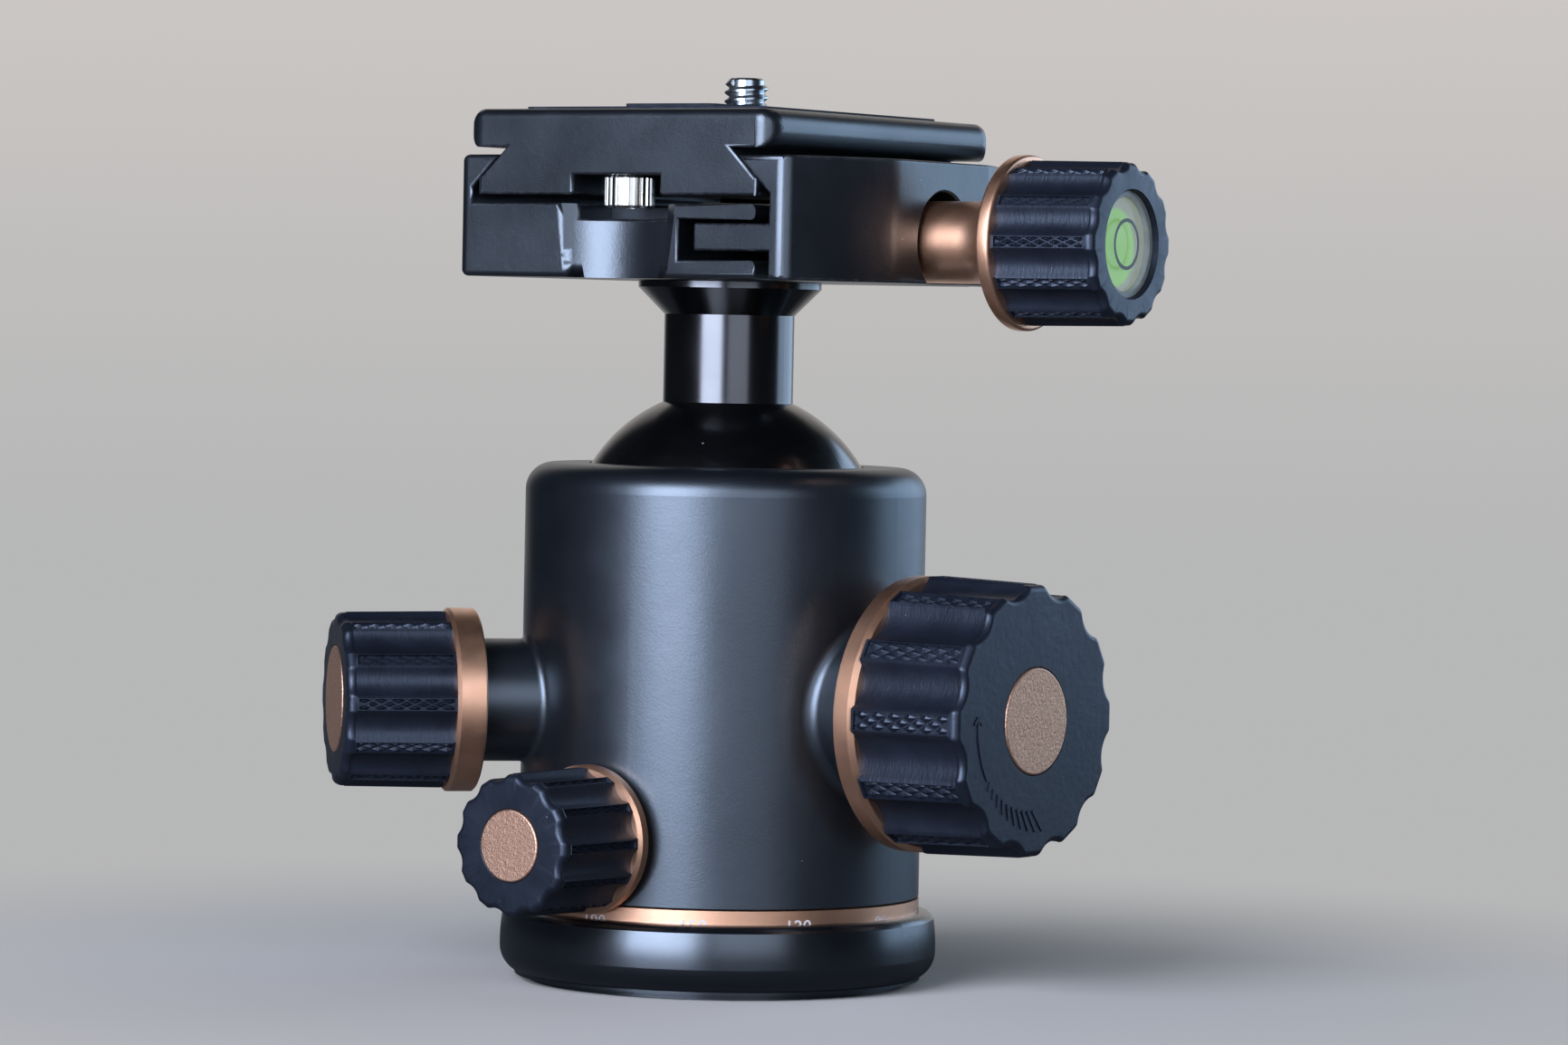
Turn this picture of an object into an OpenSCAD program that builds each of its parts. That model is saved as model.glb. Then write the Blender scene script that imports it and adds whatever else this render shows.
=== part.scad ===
// Tripod ball head with a dovetail quick-release clamp.
// Origin: centre of the base's underside, on the pan axis. +Z is up, +X runs along
// the clamp knob and the plate slides along Y. Every length is in millimetres.
// The ball, the main brake and the pan brake are drawn locked, and the clamp is closed.

/* [Base] */
// Largest radius of the base
base_r = 31.2; // [29.5:0.1:34]
// Height of the base's lip
base_h = 10.6; // [10:0.1:13]
// Radius of the tucked-in foot under the base
foot_r = 27; // [24:0.5:28]
// Height of the tucked-in foot
foot_h = 0.8; // [0.5:0.1:1.5]
// Rounding of the base's upper edge
base_top_round = 2.2; // [1:0.1:2.6]
// Rounding of the base's lower edge
base_low_round = 4; // [2:0.1:5]
// Radius of the barrel curve of the base's side
base_bulge_r = 28; // [20:1:60]
// Thickness of the base's floor under the spindle
base_floor = 8; // [7:0.1:8.5]
// Height of the pan scale ring
scale_h = 3.4; // [3:0.1:3.6]
// Radial width of the pan scale ring
scale_w = 4.2; // [3:0.1:4.4]

/* [Tripod thread] */
// Radius of the hole in the 3/8 inch bush, at the thread's crests
tripod_thread_r = 3.97; // [3.9:0.01:4.05]
// Outer radius of the bush
bush_r = 6.5; // [6:0.1:6.8]
// Radius of the bush's flange
bush_flange_r = 8.5; // [8:0.1:8.8]
// Thickness of the bush's flange
bush_flange_t = 2; // [1.5:0.1:2.5]
// Length of the bush
bush_len = 14; // [12.5:0.5:15]

/* [Pan spindle] */
// Radius of the spindle's foot in the base
spindle_foot_r = 17; // [16:0.1:18]
// Radius of the spindle's neck
spindle_neck_r = 14.6; // [14.6:0.1:15]
// Radius of the drum that the pan brake presses on
drum_r = 19; // [18:0.1:19.4]
// Height of the drum
drum_h = 10.4; // [9:0.1:10.6]
// Radius of the circle of the base screws
base_screw_pcr = 11.6; // [11.3:0.1:11.8]
// Number of base screws
base_screw_n = 3; // [2:1:4]
// Thread radius of the base screws
base_screw_r = 2; // [1.5:0.1:2]
// Length of a base screw under its head
base_screw_len = 14; // [10:0.5:16]
// Thickness of the pan bearing washer
washer_t = 0.75; // [0.5:0.05:0.8]

/* [Housing] */
// Outer radius of the housing
housing_r = 28.65; // [28.3:0.05:29.1]
// Height of the housing
housing_h = 61; // [60.6:0.1:63]
// Radius of the housing's bore
bore_r = 23.6; // [23.6:0.1:24.2]
// Rounding of the housing's upper edge
rim_round = 3.9; // [2:0.1:4.5]
// Thickness of the retaining ring at the housing's foot
bottom_ring_t = 4.3; // [3.5:0.1:4.3]
// Radius of the retaining ring's thread
bottom_ring_r = 25; // [24.8:0.1:25.4]
// Thickness of the floor under the ball brake
floor_t = 5.4; // [4.5:0.1:5.4]
// Width of the drop notch
notch_w = 20.5; // [19.6:0.1:22]
// Azimuth of the drop notch
notch_az = 125; // [110:1:140]

/* [Ball] */
// Radius of the ball
ball_r = 22.5; // [22.3:0.1:22.7]
// Height of the ball's centre
ball_z = 62.2; // [62:0.1:62.4]
// Radius of the ball's neck
neck_r = 9.3; // [8.5:0.1:9.5]
// Height of the neck's top, from the ball's centre
neck_h = 33; // [32.6:0.1:34]
// Radius of the collar under the clamp
collar_r = 13.1; // [12:0.1:13.8]
// Straight height of the collar's edge
collar_edge = 0.9; // [0.5:0.1:1.5]
// Height of the brake cup's rim below the ball's centre
cup_top_drop = 10.2; // [9.5:0.1:11]
// Radius of the hole through the brake cup
cup_hole_r = 15.2; // [15:0.1:15.4]
// Thickness of the brake cup at its hole
cup_edge = 1.3; // [1.2:0.1:1.4]
// How far the brake cup sinks when the main knob is loose
cup_drop = 0.25; // [0.2:0.01:0.3]
// Angle of the brake cup's conical underside
cup_slope = 15; // [14:1:16]

/* [Main knob] */
// Azimuth of the main knob
main_az = -5; // [-15:1:5]
// Height of the main and tension knobs' axes
lock_z = 40; // [39.6:0.1:40.4]
// Distance of the main knob's ring from the pan axis
main_ring_at = 33.8; // [33.3:0.1:35]
// Thickness of the main knob's ring
main_ring_t = 3.3; // [2.5:0.1:4]
// Radius of the main knob's ring
main_ring_r = 19.3; // [18.5:0.1:20]
// Length of the main knob's grip
main_grip_len = 17.5; // [15:0.5:20]
// Radius of the main knob's grip at its ring
main_grip_r = 19.4; // [18.6:0.1:20]
// Radius of the main knob's grip at its end
main_grip_end_r = 18.8; // [18:0.1:19.2]
// Depth of the flutes of the main knob
main_flute = 1.35; // [0.8:0.05:1.6]
// Radius of a flute of the main knob
main_flute_r = 4.8; // [4:0.1:6]
// Rounding of the main knob's end
main_end_round = 1.8; // [1:0.1:2.5]
// Radius of the main knob's cap disc
main_cap_r = 7.4; // [6:0.1:9]
// Radius of the boss behind the main knob
main_boss_r = 13; // [11:0.1:14]
// Radius of the main knob's screw
main_screw_r = 4; // [3.5:0.1:4.2]

/* [Tension knob] */
// Azimuth of the tension knob
tension_az = -135; // [-140:1:-130]
// Distance of the tension knob's ring from the pan axis
tension_ring_at = 36.3; // [35.5:0.1:38]
// Thickness of the tension knob's ring
tension_ring_t = 4.2; // [3:0.1:5]
// Radius of the tension knob's ring
tension_ring_r = 13; // [12:0.1:13.5]
// Length of the tension knob's grip
tension_grip_len = 15.5; // [13:0.5:18]
// Radius of the tension knob's grip at its ring
tension_grip_r = 12.5; // [12:0.1:13]
// Radius of the tension knob's grip at its end
tension_grip_end_r = 12.2; // [11.6:0.1:12.4]
// Depth of the flutes of the tension knob
tension_flute = 0.8; // [0.5:0.05:1]
// Radius of a flute of the tension knob
tension_flute_r = 3.6; // [3:0.1:4.5]
// Rounding of the tension knob's end
tension_end_round = 2.4; // [1:0.1:2.8]
// Radius of the tension knob's cap disc
tension_cap_r = 7.5; // [5:0.1:7.8]
// Radius of the boss behind the tension knob
tension_boss_r = 8.7; // [8:0.1:9.5]
// Radius of the tension knob's screw
tension_screw_r = 3; // [2.5:0.1:3.5]

/* [Pan knob] */
// Azimuth of the pan knob
pan_az = -95; // [-97:1:-90]
// Height of the pan knob's axis
pan_z = 21.8; // [21.8:0.1:22.2]
// Distance of the pan knob's ring from the pan axis
pan_ring_at = 29.4; // [29.4:0.1:30.5]
// Thickness of the pan knob's ring
pan_ring_t = 2; // [1.5:0.1:2.5]
// Radius of the pan knob's ring
pan_ring_r = 10.4; // [9.8:0.1:10.6]
// Length of the pan knob's grip
pan_grip_len = 15.9; // [14:0.1:18]
// Radius of the pan knob's grip at its ring
pan_grip_r = 10.1; // [9.6:0.1:10.3]
// Radius of the pan knob's grip at its end
pan_grip_end_r = 9.8; // [9.2:0.1:9.9]
// Depth of the flutes of the pan knob
pan_flute = 0.7; // [0.4:0.05:0.9]
// Radius of a flute of the pan knob
pan_flute_r = 3; // [2.5:0.1:4]
// Rounding of the pan knob's end
pan_end_round = 1.6; // [1:0.1:2]
// Radius of the pan knob's cap disc
pan_cap_r = 5; // [4:0.1:5.6]
// Radius of the pan knob's screw
pan_screw_r = 3; // [2.5:0.1:3.2]

/* [Knobs] */
// Number of lobes on every knob
lobes = 12; // [8:1:13]
// Chamfer of a knob's ring, on its grip's side
ring_chamfer = 0.5; // [0.3:0.1:0.7]
// Thickness of a knob's cap disc
cap_t = 1.2; // [0.8:0.1:1.6]
// Height that a cap disc stands proud
cap_proud = 0.15; // [0:0.05:0.3]
// Thinnest rubber of a grip, at the flutes
rubber_t = 1.3; // [1:0.1:1.6]
// Radius of a brake screw's nose
nose_r = 1.6; // [1.2:0.1:1.8]
// Length of a brake screw's nose
nose_len = 3; // [2:0.1:3.2]

/* [Clamp] */
// Distance from the neck's axis to the fixed jaw's outer face
clamp_left = 26.5; // [26:0.1:28]
// Height of the clamp from its underside to the top of its jaws
clamp_h = 17.1; // [17:0.1:17.4]
// Height of the clamp's floor above its underside
clamp_floor = 10.3; // [10.2:0.1:10.3]
// Thickness of the clamp's lower tongue guide
tine_low = 2.6; // [2.4:0.1:3]
// Thickness of the clamp's upper tongue guide
tine_high = 2.1; // [2:0.1:2.2]
// Where the slot for the tongue starts
slot_x = 10.4; // [9.5:0.1:11]
// Where the guides of the tongue end
tine_x = 23; // [22:0.1:23.6]
// Half-width of the stop recess
recess_half = 7.3; // [7:0.1:7.8]
// Length of the stop recess from the clamp's face
recess_len = 10; // [9.4:0.1:12]
// Radius of the scallop in the clamp's face, at the floor
scallop_r = 14.4; // [14:0.1:15]
// Distance of the scallop's axis outside the face
scallop_out = 10.3; // [10:0.1:11]
// Rounding of the clamp's and the jaw's end edges
clamp_edge = 0.8; // [0.5:0.1:1]

/* [Jaw] */
// Where the moving jaw's inner face stands
jaw_x = 25.1; // [25:0.1:25.6]
// Where the jaw's outline starts at its corners
jaw_corner_x = 27.6; // [27:0.1:29]
// Where the jaw's flat face stands
jaw_face_x = 35.3; // [34.5:0.1:36]
// Half-width of the jaw's flat face
jaw_face_half = 11.8; // [10.5:0.1:13]
// Bow of the jaw's slanted sides
jaw_bow = 0.6; // [0.3:0.1:1]
// Thickness of the jaw's tongue
tongue_t = 3.8; // [3.6:0.1:4]
// Where the jaw's tongue ends
tongue_x = 12.9; // [12.4:0.1:13.5]
// Radius of the counterbore round the ferrule
counterbore_r = 7; // [6.6:0.1:7.4]
// Where the counterbore's floor stands
counterbore_x = 31; // [30:0.1:32]

/* [Clamp knob] */
// Height of the clamp knob's axis above the clamp's underside
clamp_axis_h = 5.9; // [5.8:0.1:6]
// Radius of the ferrule
ferrule_r = 5.75; // [5.2:0.05:6]
// Where the clamp knob's ring starts
clamp_ring_at = 47.4; // [46:0.1:49]
// Thickness of the clamp knob's ring
clamp_ring_t = 2; // [1.5:0.1:2.5]
// Radius of the clamp knob's ring
clamp_ring_r = 12.2; // [11.6:0.1:12.5]
// Radius of the flare between ferrule and ring
flare_r = 10; // [8:0.1:12]
// Length of the clamp knob's grip
clamp_grip_len = 15.9; // [14.5:0.1:17]
// Radius of the clamp knob's grip at its ring
clamp_grip_r = 11.5; // [11.2:0.1:11.6]
// Radius of the clamp knob's grip at its end
clamp_grip_end_r = 11.2; // [10.8:0.1:11.2]
// Depth of the flutes of the clamp knob
clamp_flute = 0.75; // [0.5:0.05:0.9]
// Radius of a flute of the clamp knob
clamp_flute_r = 3.3; // [2.8:0.1:4]
// Rounding of the clamp knob's end
clamp_end_round = 1.4; // [0.8:0.1:1.6]
// Radius of the clamp knob's screw
clamp_screw_r = 3; // [2.5:0.05:3]
// Radius of the level's housing
vial_r = 7.4; // [6.8:0.1:7.6]
// Depth of the level's housing
vial_h = 4.2; // [3.5:0.1:4.6]
// How far the level's lens lies inside the grip's end
vial_inset = 0.9; // [0.5:0.1:1.4]

/* [Plate] */
// Width of the plate across the dovetail
plate_w = 51; // [50:0.5:52]
// Length of the plate and of the clamp under it
plate_len = 60; // [56:1:62]
// Thickness of the plate's slab
slab_t = 5.4; // [5:0.1:6]
// Rounding of the plate's long edges
slab_round = 2.5; // [1.5:0.1:2.5]
// Rounding of the slab's corners in plan
slab_corner = 2.8; // [2:0.1:4]
// Rounding of the slab's end edges
slab_end_round = 1.4; // [0.8:0.1:2]
// Half-width of the dovetail's neck
dovetail_neck = 18.65; // [18.5:0.05:18.8]
// Slanted height of the dovetail
dovetail_slant = 4.5; // [4.3:0.1:4.6]
// Straight height of the dovetail's foot
dovetail_land = 2.1; // [1.8:0.1:2.2]
// Gap between the slab and the jaws
slab_gap = 1; // [0.8:0.1:1]
// Half-width of the notch over a stop screw
stop_notch_half = 7.2; // [6:0.1:7.2]
// Height of the notch over a stop screw
stop_notch_h = 2.8; // [2.6:0.1:3.2]
// Depth of the notch over a stop screw
stop_notch_len = 7.4; // [7.2:0.1:8]
// Radius of a stop screw's head
stop_head_r = 3.5; // [3:0.1:3.5]
// Thread radius of a stop screw
stop_screw_r = 1.5; // [1.2:0.1:2]
// Length of a stop screw's thread
stop_screw_len = 6; // [5:0.5:7]
// Distance of a stop screw from the plate's end
stop_inset = 3.6; // [3.6:0.1:3.7]
// Half-travel of the camera screw along its slot
slot_travel = 10; // [8:0.5:11]

/* [Pad] */
// Width of the pad
pad_w = 40; // [36:1:42]
// Length of the pad
pad_len = 48; // [44:1:52]
// Thickness of the pad
pad_t = 1.5; // [1.2:0.1:1.8]
// Rounding of the pad's corners in plan
pad_corner = 2; // [1:0.5:3]
// Depth of the pad's bed in the slab
pad_bed = 1; // [0.8:0.1:1.1]
// Width of the pad's raised island
island_w = 15.2; // [14:0.2:18]
// Length of the pad's raised island
island_len = 34.6; // [33:0.2:38]
// Height of the pad's raised island above the pad
island_t = 0.4; // [0.3:0.1:0.6]

/* [Camera screw] */
// Thread radius of the 1/4 inch camera screw
camera_screw_r = 3.175; // [3.1:0.005:3.2]
// Radius of the camera screw's neck, under its thread
camera_neck_r = 2.5; // [2:0.1:2.7]
// Height that the camera screw stands above the slab
camera_screw_up = 5.6; // [5:0.1:6.5]
// Where the camera screw stands along its slot
camera_screw_y = 3.4; // [-8:0.1:8]
// Radius of the camera screw's head
camera_head_r = 8; // [7:0.1:8.4]
// Height of the camera screw's head
camera_head_h = 3.6; // [3:0.1:3.8]

/* [Fits] */
// Gap between pieces that are fixed together
seat_gap = 0.05; // [0.03:0.01:0.08]
// Gap of a shaft that turns or slides in its hole
run_gap = 0.08; // [0.05:0.01:0.1]
// Gap between pieces that pass each other
pass_gap = 0.3; // [0.25:0.01:0.35]
// Gap between the ball and its seats
ball_gap = 0.1; // [0.08:0.01:0.15]

/* [Hidden] */
$fn = 96;

// Metal left in a knob's core past the end of its screw
core_end = 2;
// Small overlap that lets a cut run past a face
cut = 0.5;
// A length longer than any piece is wide
far = 100;

// Levels of the base and the pan bearing
scale_bed_z = base_h - 1.5;
scale_r = base_r - 2.5;
scale_top_z = scale_bed_z + scale_h;
scale_in_r = scale_r - scale_w;
housing_z = scale_top_z + pass_gap;
land_z = scale_top_z - 0.5;
bottom_ring_z = land_z + washer_t + pass_gap;
bottom_ring_top = bottom_ring_z + bottom_ring_t;
drum_z = bottom_ring_top + pass_gap;
drum_top = drum_z + drum_h;
spindle_foot_h = land_z - base_floor;
screw_head_r = 1.75 * base_screw_r;
screw_head_h = 1.9 * base_screw_r;
screw_sink = 0.8;

// Levels inside the housing
bushing_at = bottom_ring_r + pass_gap;
bushing_wall = 2.2;
circlip_t = 1;
circlip_depth = 0.8;
circlip_z = drum_top + 0.9;
floor_z = circlip_z + circlip_t + seat_gap;
floor_top = floor_z + floor_t;
housing_top = housing_z + housing_h;
seat_rise = 2.3;
seat_z = ball_z + seat_rise;
seat_h = 5;
wedge_bed = 1.4;
wedge_half = 5;
wedge_in = cup_hole_r + 1;
wedge_back = 2;
wedge_out = bore_r - wedge_back;
cup_sphere_r = ball_r + ball_gap;
cup_hole_z = ball_z - sqrt(cup_sphere_r ^ 2 - cup_hole_r ^ 2) - cup_edge;
cup_top_z = ball_z - cup_top_drop;
spring_at_r = 19;
spring_azimuths = [55, 160, 292];

// Levels of the clamp and the plate
collar_z = ball_z + neck_h;
collar_top = collar_z + collar_r - neck_r + collar_edge;
clamp_z = collar_top + run_gap;
clamp_floor_z = clamp_z + clamp_floor;
clamp_top = clamp_z + clamp_h;
clamp_axis_z = clamp_z + clamp_axis_h;
slab_z = clamp_top + slab_gap;
slab_top = slab_z + slab_t;
dovetail_foot_z = slab_z - dovetail_slant - dovetail_land;
dovetail_half = dovetail_neck + dovetail_slant;
tongue_z = clamp_z + tine_low + 1.3;
stop_head_z = clamp_floor_z - 0.6;
stop_y = plate_len / 2 - stop_inset;
island_z = slab_top - pad_bed + pad_t;
pad_slot_half = camera_screw_r + 0.6;
head_pocket_top = slab_z - 0.4;
washer_camera_t = 0.8;
main_end = main_ring_at + main_ring_t + main_grip_len;
tension_end = tension_ring_at + tension_ring_t + tension_grip_len;
pan_end = pan_ring_at + pan_ring_t + pan_grip_len;
clamp_end = clamp_ring_at + clamp_ring_t + clamp_grip_len;

// Puts a shape drawn along +Z on a radial axis, so that its z is the distance
// from the pan axis.
module radial(azimuth, z) {
    rotate([0, 0, azimuth])
        translate([0, 0, z])
            rotate([0, 90, 0])
                children();
}

// Puts a shape drawn along +Z on the clamp knob's axis.
module on_clamp_axis() {
    translate([0, 0, clamp_axis_z])
        rotate([0, 90, 0])
            children();
}

// Ring between two radii.
module tube(r_out, r_in, h) {
    difference() {
        cylinder(r = r_out, h = h);
        translate([0, 0, -cut])
            cylinder(r = r_in, h = h + 2 * cut);
    }
}

// Rectangle with four round corners, centred.
module round_rect(x, y, r) {
    square([x, y - 2 * r], center = true);
    square([x - 2 * r, y], center = true);
    for (i = [-1, 1], j = [-1, 1])
        translate([i * (x / 2 - r), j * (y / 2 - r)])
            circle(r = r);
}

// Slot with round ends along Y, centred.
module slot_2d(half_w, half_travel) {
    square([2 * half_w, 2 * half_travel], center = true);
    for (j = [-1, 1])
        translate([0, j * half_travel])
            circle(r = half_w);
}

// Half section of a disc with both outer edges rounded, for a revolve.
module round_disc_2d(r, h, edge) {
    square([r - edge, h]);
    translate([0, edge])
        square([r, h - 2 * edge]);
    for (z = [edge, h - edge])
        translate([r - edge, z])
            circle(r = edge, $fn = 48);
}

// Half section of a knob's ring, with a chamfer on the back and on the front.
module ring_2d(r, h, back, front) {
    polygon([[0, 0], [r - back, 0], [r, back], [r, h - front], [r - front, h], [0, h]]);
}

// Half section of a grip: a cone whose end edge is rounded.
module grip_2d(r, r_end, len, edge) {
    polygon([[0, 0], [r, 0], [r_end, len - edge], [r_end - edge, len], [0, len]]);
    translate([r_end - edge, len - edge])
        circle(r = edge, $fn = 48);
}

// Cutter for one flute: a straight groove whose end is rounded.
module flute_cutter(r, len) {
    rotate_extrude($fn = 48) {
        square([r, len]);
        translate([0, len])
            intersection() {
                circle(r = r);
                square(r);
            }
    }
}

// Fluted rubber sleeve with a bore for its core and a seat for the cap. The flutes
// rise towards the end, where half of their depth is left.
module grip(r, r_end, len, edge, depth, flute, core_r, core_len, cap_r, cap_depth) {
    flute_len = len - sqrt(flute * depth - depth ^ 2 / 4);
    difference() {
        rotate_extrude()
            grip_2d(r, r_end, len, edge);
        for (i = [0:lobes - 1])
            rotate([0, 0, (i + 0.5) * 360 / lobes])
                translate([r_end - depth + flute, 0, -cut])
                    flute_cutter(flute, flute_len + cut);
        translate([0, 0, -cut])
            cylinder(r = core_r + seat_gap, h = core_len + seat_gap + cut);
        translate([0, 0, len - cap_depth])
            cylinder(r = cap_r + seat_gap, h = cap_depth + cut);
    }
}

// Metal heart of a knob: the ring that shows and the core inside the rubber.
module knob_core(ring_r, ring_t, chamfer, core_r, core_len, screw_r) {
    difference() {
        union() {
            rotate_extrude()
                ring_2d(ring_r, ring_t, chamfer / 2, chamfer);
            translate([0, 0, ring_t - cut])
                cylinder(r = core_r, h = core_len + cut);
        }
        translate([0, 0, -cut])
            cylinder(r = screw_r + seat_gap, h = ring_t + core_len - core_end + cut);
    }
}

// Cap disc with a softened edge.
module cap_disc(r) {
    rotate_extrude()
        round_disc_2d(r, cap_t, 0.25);
}

// Socket screw standing on its head, its thread up along +Z.
module socket_screw(r, len, head_r, head_h, socket_r) {
    difference() {
        union() {
            cylinder(r = head_r, h = head_h);
            cylinder(r = r, h = head_h + len);
        }
        translate([0, 0, -cut])
            cylinder(r = socket_r, h = head_h / 2 + cut, $fn = 6);
    }
}

// Coil spring along +Z, as a round wire swept along a helix.
module coil_spring(r, wire_r, len, turns) {
    sides = 6;
    steps = 10;
    rings = turns * steps;
    rise = (len - 2 * wire_r) / rings;
    points = [
        for (i = [0:rings], s = [0:sides - 1])
            let (
                turn = i * 360 / steps,
                side = s * 360 / sides,
                reach = r + wire_r * cos(side)
            )
                [reach * cos(turn), reach * sin(turn), wire_r + i * rise + wire_r * sin(side)]
    ];
    walls = [
        for (i = [0:rings - 1], s = [0:sides - 1])
            let (t = (s + 1) % sides)
                [i * sides + s, (i + 1) * sides + s, (i + 1) * sides + t, i * sides + t]
    ];
    ends = [
        [for (s = [0:sides - 1]) s],
        [for (s = [sides - 1:-1:0]) rings * sides + s]
    ];
    polyhedron(points = points, faces = concat(walls, ends));
}

// Lobed inner radius of a grip, where its core ends.
function core_radius(r_end, depth) = r_end - depth - rubber_t;

// ---- Base ----

module base_plate() {
    color("#17181b")
        difference() {
            rotate_extrude()
                base_section();
            translate([0, 0, -cut])
                cylinder(r = bush_r + seat_gap, h = far);
            translate([0, 0, base_floor])
                cylinder(r = spindle_foot_r + seat_gap, h = far);
            base_screw_places() {
                translate([0, 0, -cut])
                    cylinder(r = screw_head_r + pass_gap, h = screw_sink + screw_head_h + cut);
                cylinder(r = base_screw_r + seat_gap, h = far);
            }
        }
}

// Half section of the base: foot, barrel side, lip, ring bed and bearing land.
module base_section() {
    square([foot_r, foot_h + cut]);
    difference() {
        intersection() {
            union() {
                translate([0, foot_h])
                    square([base_r - base_low_round, base_h - foot_h]);
                translate([0, foot_h + base_low_round])
                    square([base_r, base_h - foot_h - base_low_round - base_top_round]);
                translate([0, foot_h])
                    square([base_r - base_top_round, base_h - foot_h]);
                translate([base_r - base_low_round, foot_h + base_low_round])
                    circle(r = base_low_round);
                translate([base_r - base_top_round, base_h - base_top_round])
                    circle(r = base_top_round);
            }
            translate([base_r - base_bulge_r, base_h / 2])
                circle(r = base_bulge_r, $fn = 180);
        }
        translate([scale_in_r - seat_gap, scale_bed_z])
            square([scale_r - scale_in_r + 2 * seat_gap, far]);
    }
    square([scale_in_r - seat_gap, land_z]);
}

module base_screw_places() {
    for (i = [0:base_screw_n - 1])
        rotate([0, 0, 30 + i * 360 / base_screw_n])
            translate([base_screw_pcr, 0, 0])
                children();
}

module scale_ring() {
    color("#c08d70")
        translate([0, 0, scale_bed_z])
            tube(scale_r, scale_in_r, scale_h);
}

module thread_bush() {
    color("#b9bcc0")
        difference() {
            union() {
                cylinder(r = bush_r, h = bush_len);
                translate([0, 0, base_floor])
                    cylinder(r = bush_flange_r, h = bush_flange_t);
            }
            translate([0, 0, -cut])
                cylinder(r = tripod_thread_r, h = far);
        }
}

module pan_spindle() {
    color("#8d9196")
        difference() {
            union() {
                translate([0, 0, base_floor])
                    cylinder(r = spindle_foot_r, h = spindle_foot_h);
                translate([0, 0, base_floor])
                    cylinder(r = spindle_neck_r, h = drum_z - base_floor + cut);
                translate([0, 0, drum_z])
                    cylinder(r = drum_r, h = drum_h);
            }
            translate([0, 0, base_floor - cut])
                cylinder(r = bush_r + seat_gap, h = bush_len - base_floor + seat_gap + cut);
            translate([0, 0, base_floor - cut])
                cylinder(r = bush_flange_r + seat_gap, h = bush_flange_t + seat_gap + cut);
            base_screw_places()
                translate([0, 0, screw_sink + screw_head_h])
                    cylinder(r = base_screw_r + seat_gap, h = base_screw_len + seat_gap);
        }
}

module base_screws() {
    color("#a5a8ad")
        base_screw_places()
            translate([0, 0, screw_sink])
                socket_screw(
                    base_screw_r, base_screw_len, screw_head_r, screw_head_h, 0.75 * base_screw_r
                );
}

module pan_washer() {
    color("#e6e3da")
        translate([0, 0, land_z])
            tube(scale_in_r - 0.4, spindle_foot_r + pass_gap, washer_t);
}

// ---- Housing ----

module housing() {
    color("#17181b")
        difference() {
            union() {
                translate([0, 0, housing_z])
                    rotate_extrude()
                        housing_section();
                radial(main_az, lock_z)
                    translate([0, 0, bore_r + 1])
                        cylinder(r = main_boss_r, h = main_ring_at - pass_gap - bore_r - 1);
                radial(tension_az, lock_z)
                    translate([0, 0, bore_r + 1])
                        cylinder(
                            r = tension_boss_r,
                            h = tension_ring_at - pass_gap - bore_r - 1
                        );
            }
            housing_bore();
            radial(main_az, lock_z)
                cylinder(r = bushing_r(main_screw_r) + seat_gap, h = far);
            radial(tension_az, lock_z)
                cylinder(r = bushing_r(tension_screw_r) + seat_gap, h = far);
            radial(pan_az, pan_z)
                cylinder(r = bushing_r(pan_screw_r) + seat_gap, h = far);
            drop_notch(0);
        }
}

// Half section of the housing's outside, with its rounded rim.
module housing_section() {
    square([housing_r, housing_h - rim_round]);
    square([housing_r - rim_round, housing_h]);
    translate([housing_r - rim_round, housing_h - rim_round])
        circle(r = rim_round);
}

// Everything that is bored out of the housing along its own axis.
module housing_bore() {
    translate([0, 0, housing_z - cut])
        cylinder(r = bottom_ring_r + seat_gap, h = bottom_ring_top - housing_z + cut);
    translate([0, 0, housing_z])
        cylinder(r = bore_r, h = seat_z + seat_h - housing_z);
    translate([0, 0, circlip_z - seat_gap])
        cylinder(r = bore_r + circlip_depth + seat_gap, h = circlip_t + 2 * seat_gap);
    intersection() {
        translate([0, 0, ball_z])
            sphere(r = ball_r + pass_gap, $fn = 180);
        translate([0, 0, ball_z])
            cylinder(r = far, h = far);
    }
}

// The slot that the neck drops into, widened by a gap.
module drop_notch(gap) {
    radial(notch_az, ball_z)
        cylinder(r = notch_w / 2 + gap, h = far);
    rotate([0, 0, notch_az])
        translate([0, -notch_w / 2 - gap, ball_z])
            cube([far, notch_w + 2 * gap, far]);
}

module bottom_ring() {
    spanner_r = 1.2;
    color("#8d9196")
        translate([0, 0, bottom_ring_z])
            difference() {
                tube(bottom_ring_r, spindle_neck_r + pass_gap, bottom_ring_t);
                for (i = [0, 180])
                    rotate([0, 0, i])
                        translate([bore_r - 2, 0, -cut])
                            cylinder(r = spanner_r, h = 2 + cut);
            }
}

module floor_plate() {
    color("#8d9196")
        difference() {
            translate([0, 0, floor_z])
                cylinder(r = bore_r - seat_gap, h = floor_t);
            for (azimuth = [main_az, tension_az])
                rotate([0, 0, azimuth])
                    translate([wedge_in - 2, -wedge_half - run_gap, floor_top - wedge_bed])
                        cube([far, 2 * (wedge_half + run_gap), far]);
        }
}

module floor_circlip() {
    gap_angle = 30;
    color("#5c5f63")
        translate([0, 0, circlip_z])
            difference() {
                tube(bore_r + circlip_depth, bore_r - 1, circlip_t);
                rotate([0, 0, notch_az - gap_angle / 2])
                    translate([0, 0, -cut])
                        linear_extrude(circlip_t + 2 * cut)
                            polygon([
                                [0, 0], [far, 0],
                                [far * cos(gap_angle), far * sin(gap_angle)]
                            ]);
            }
}

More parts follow.
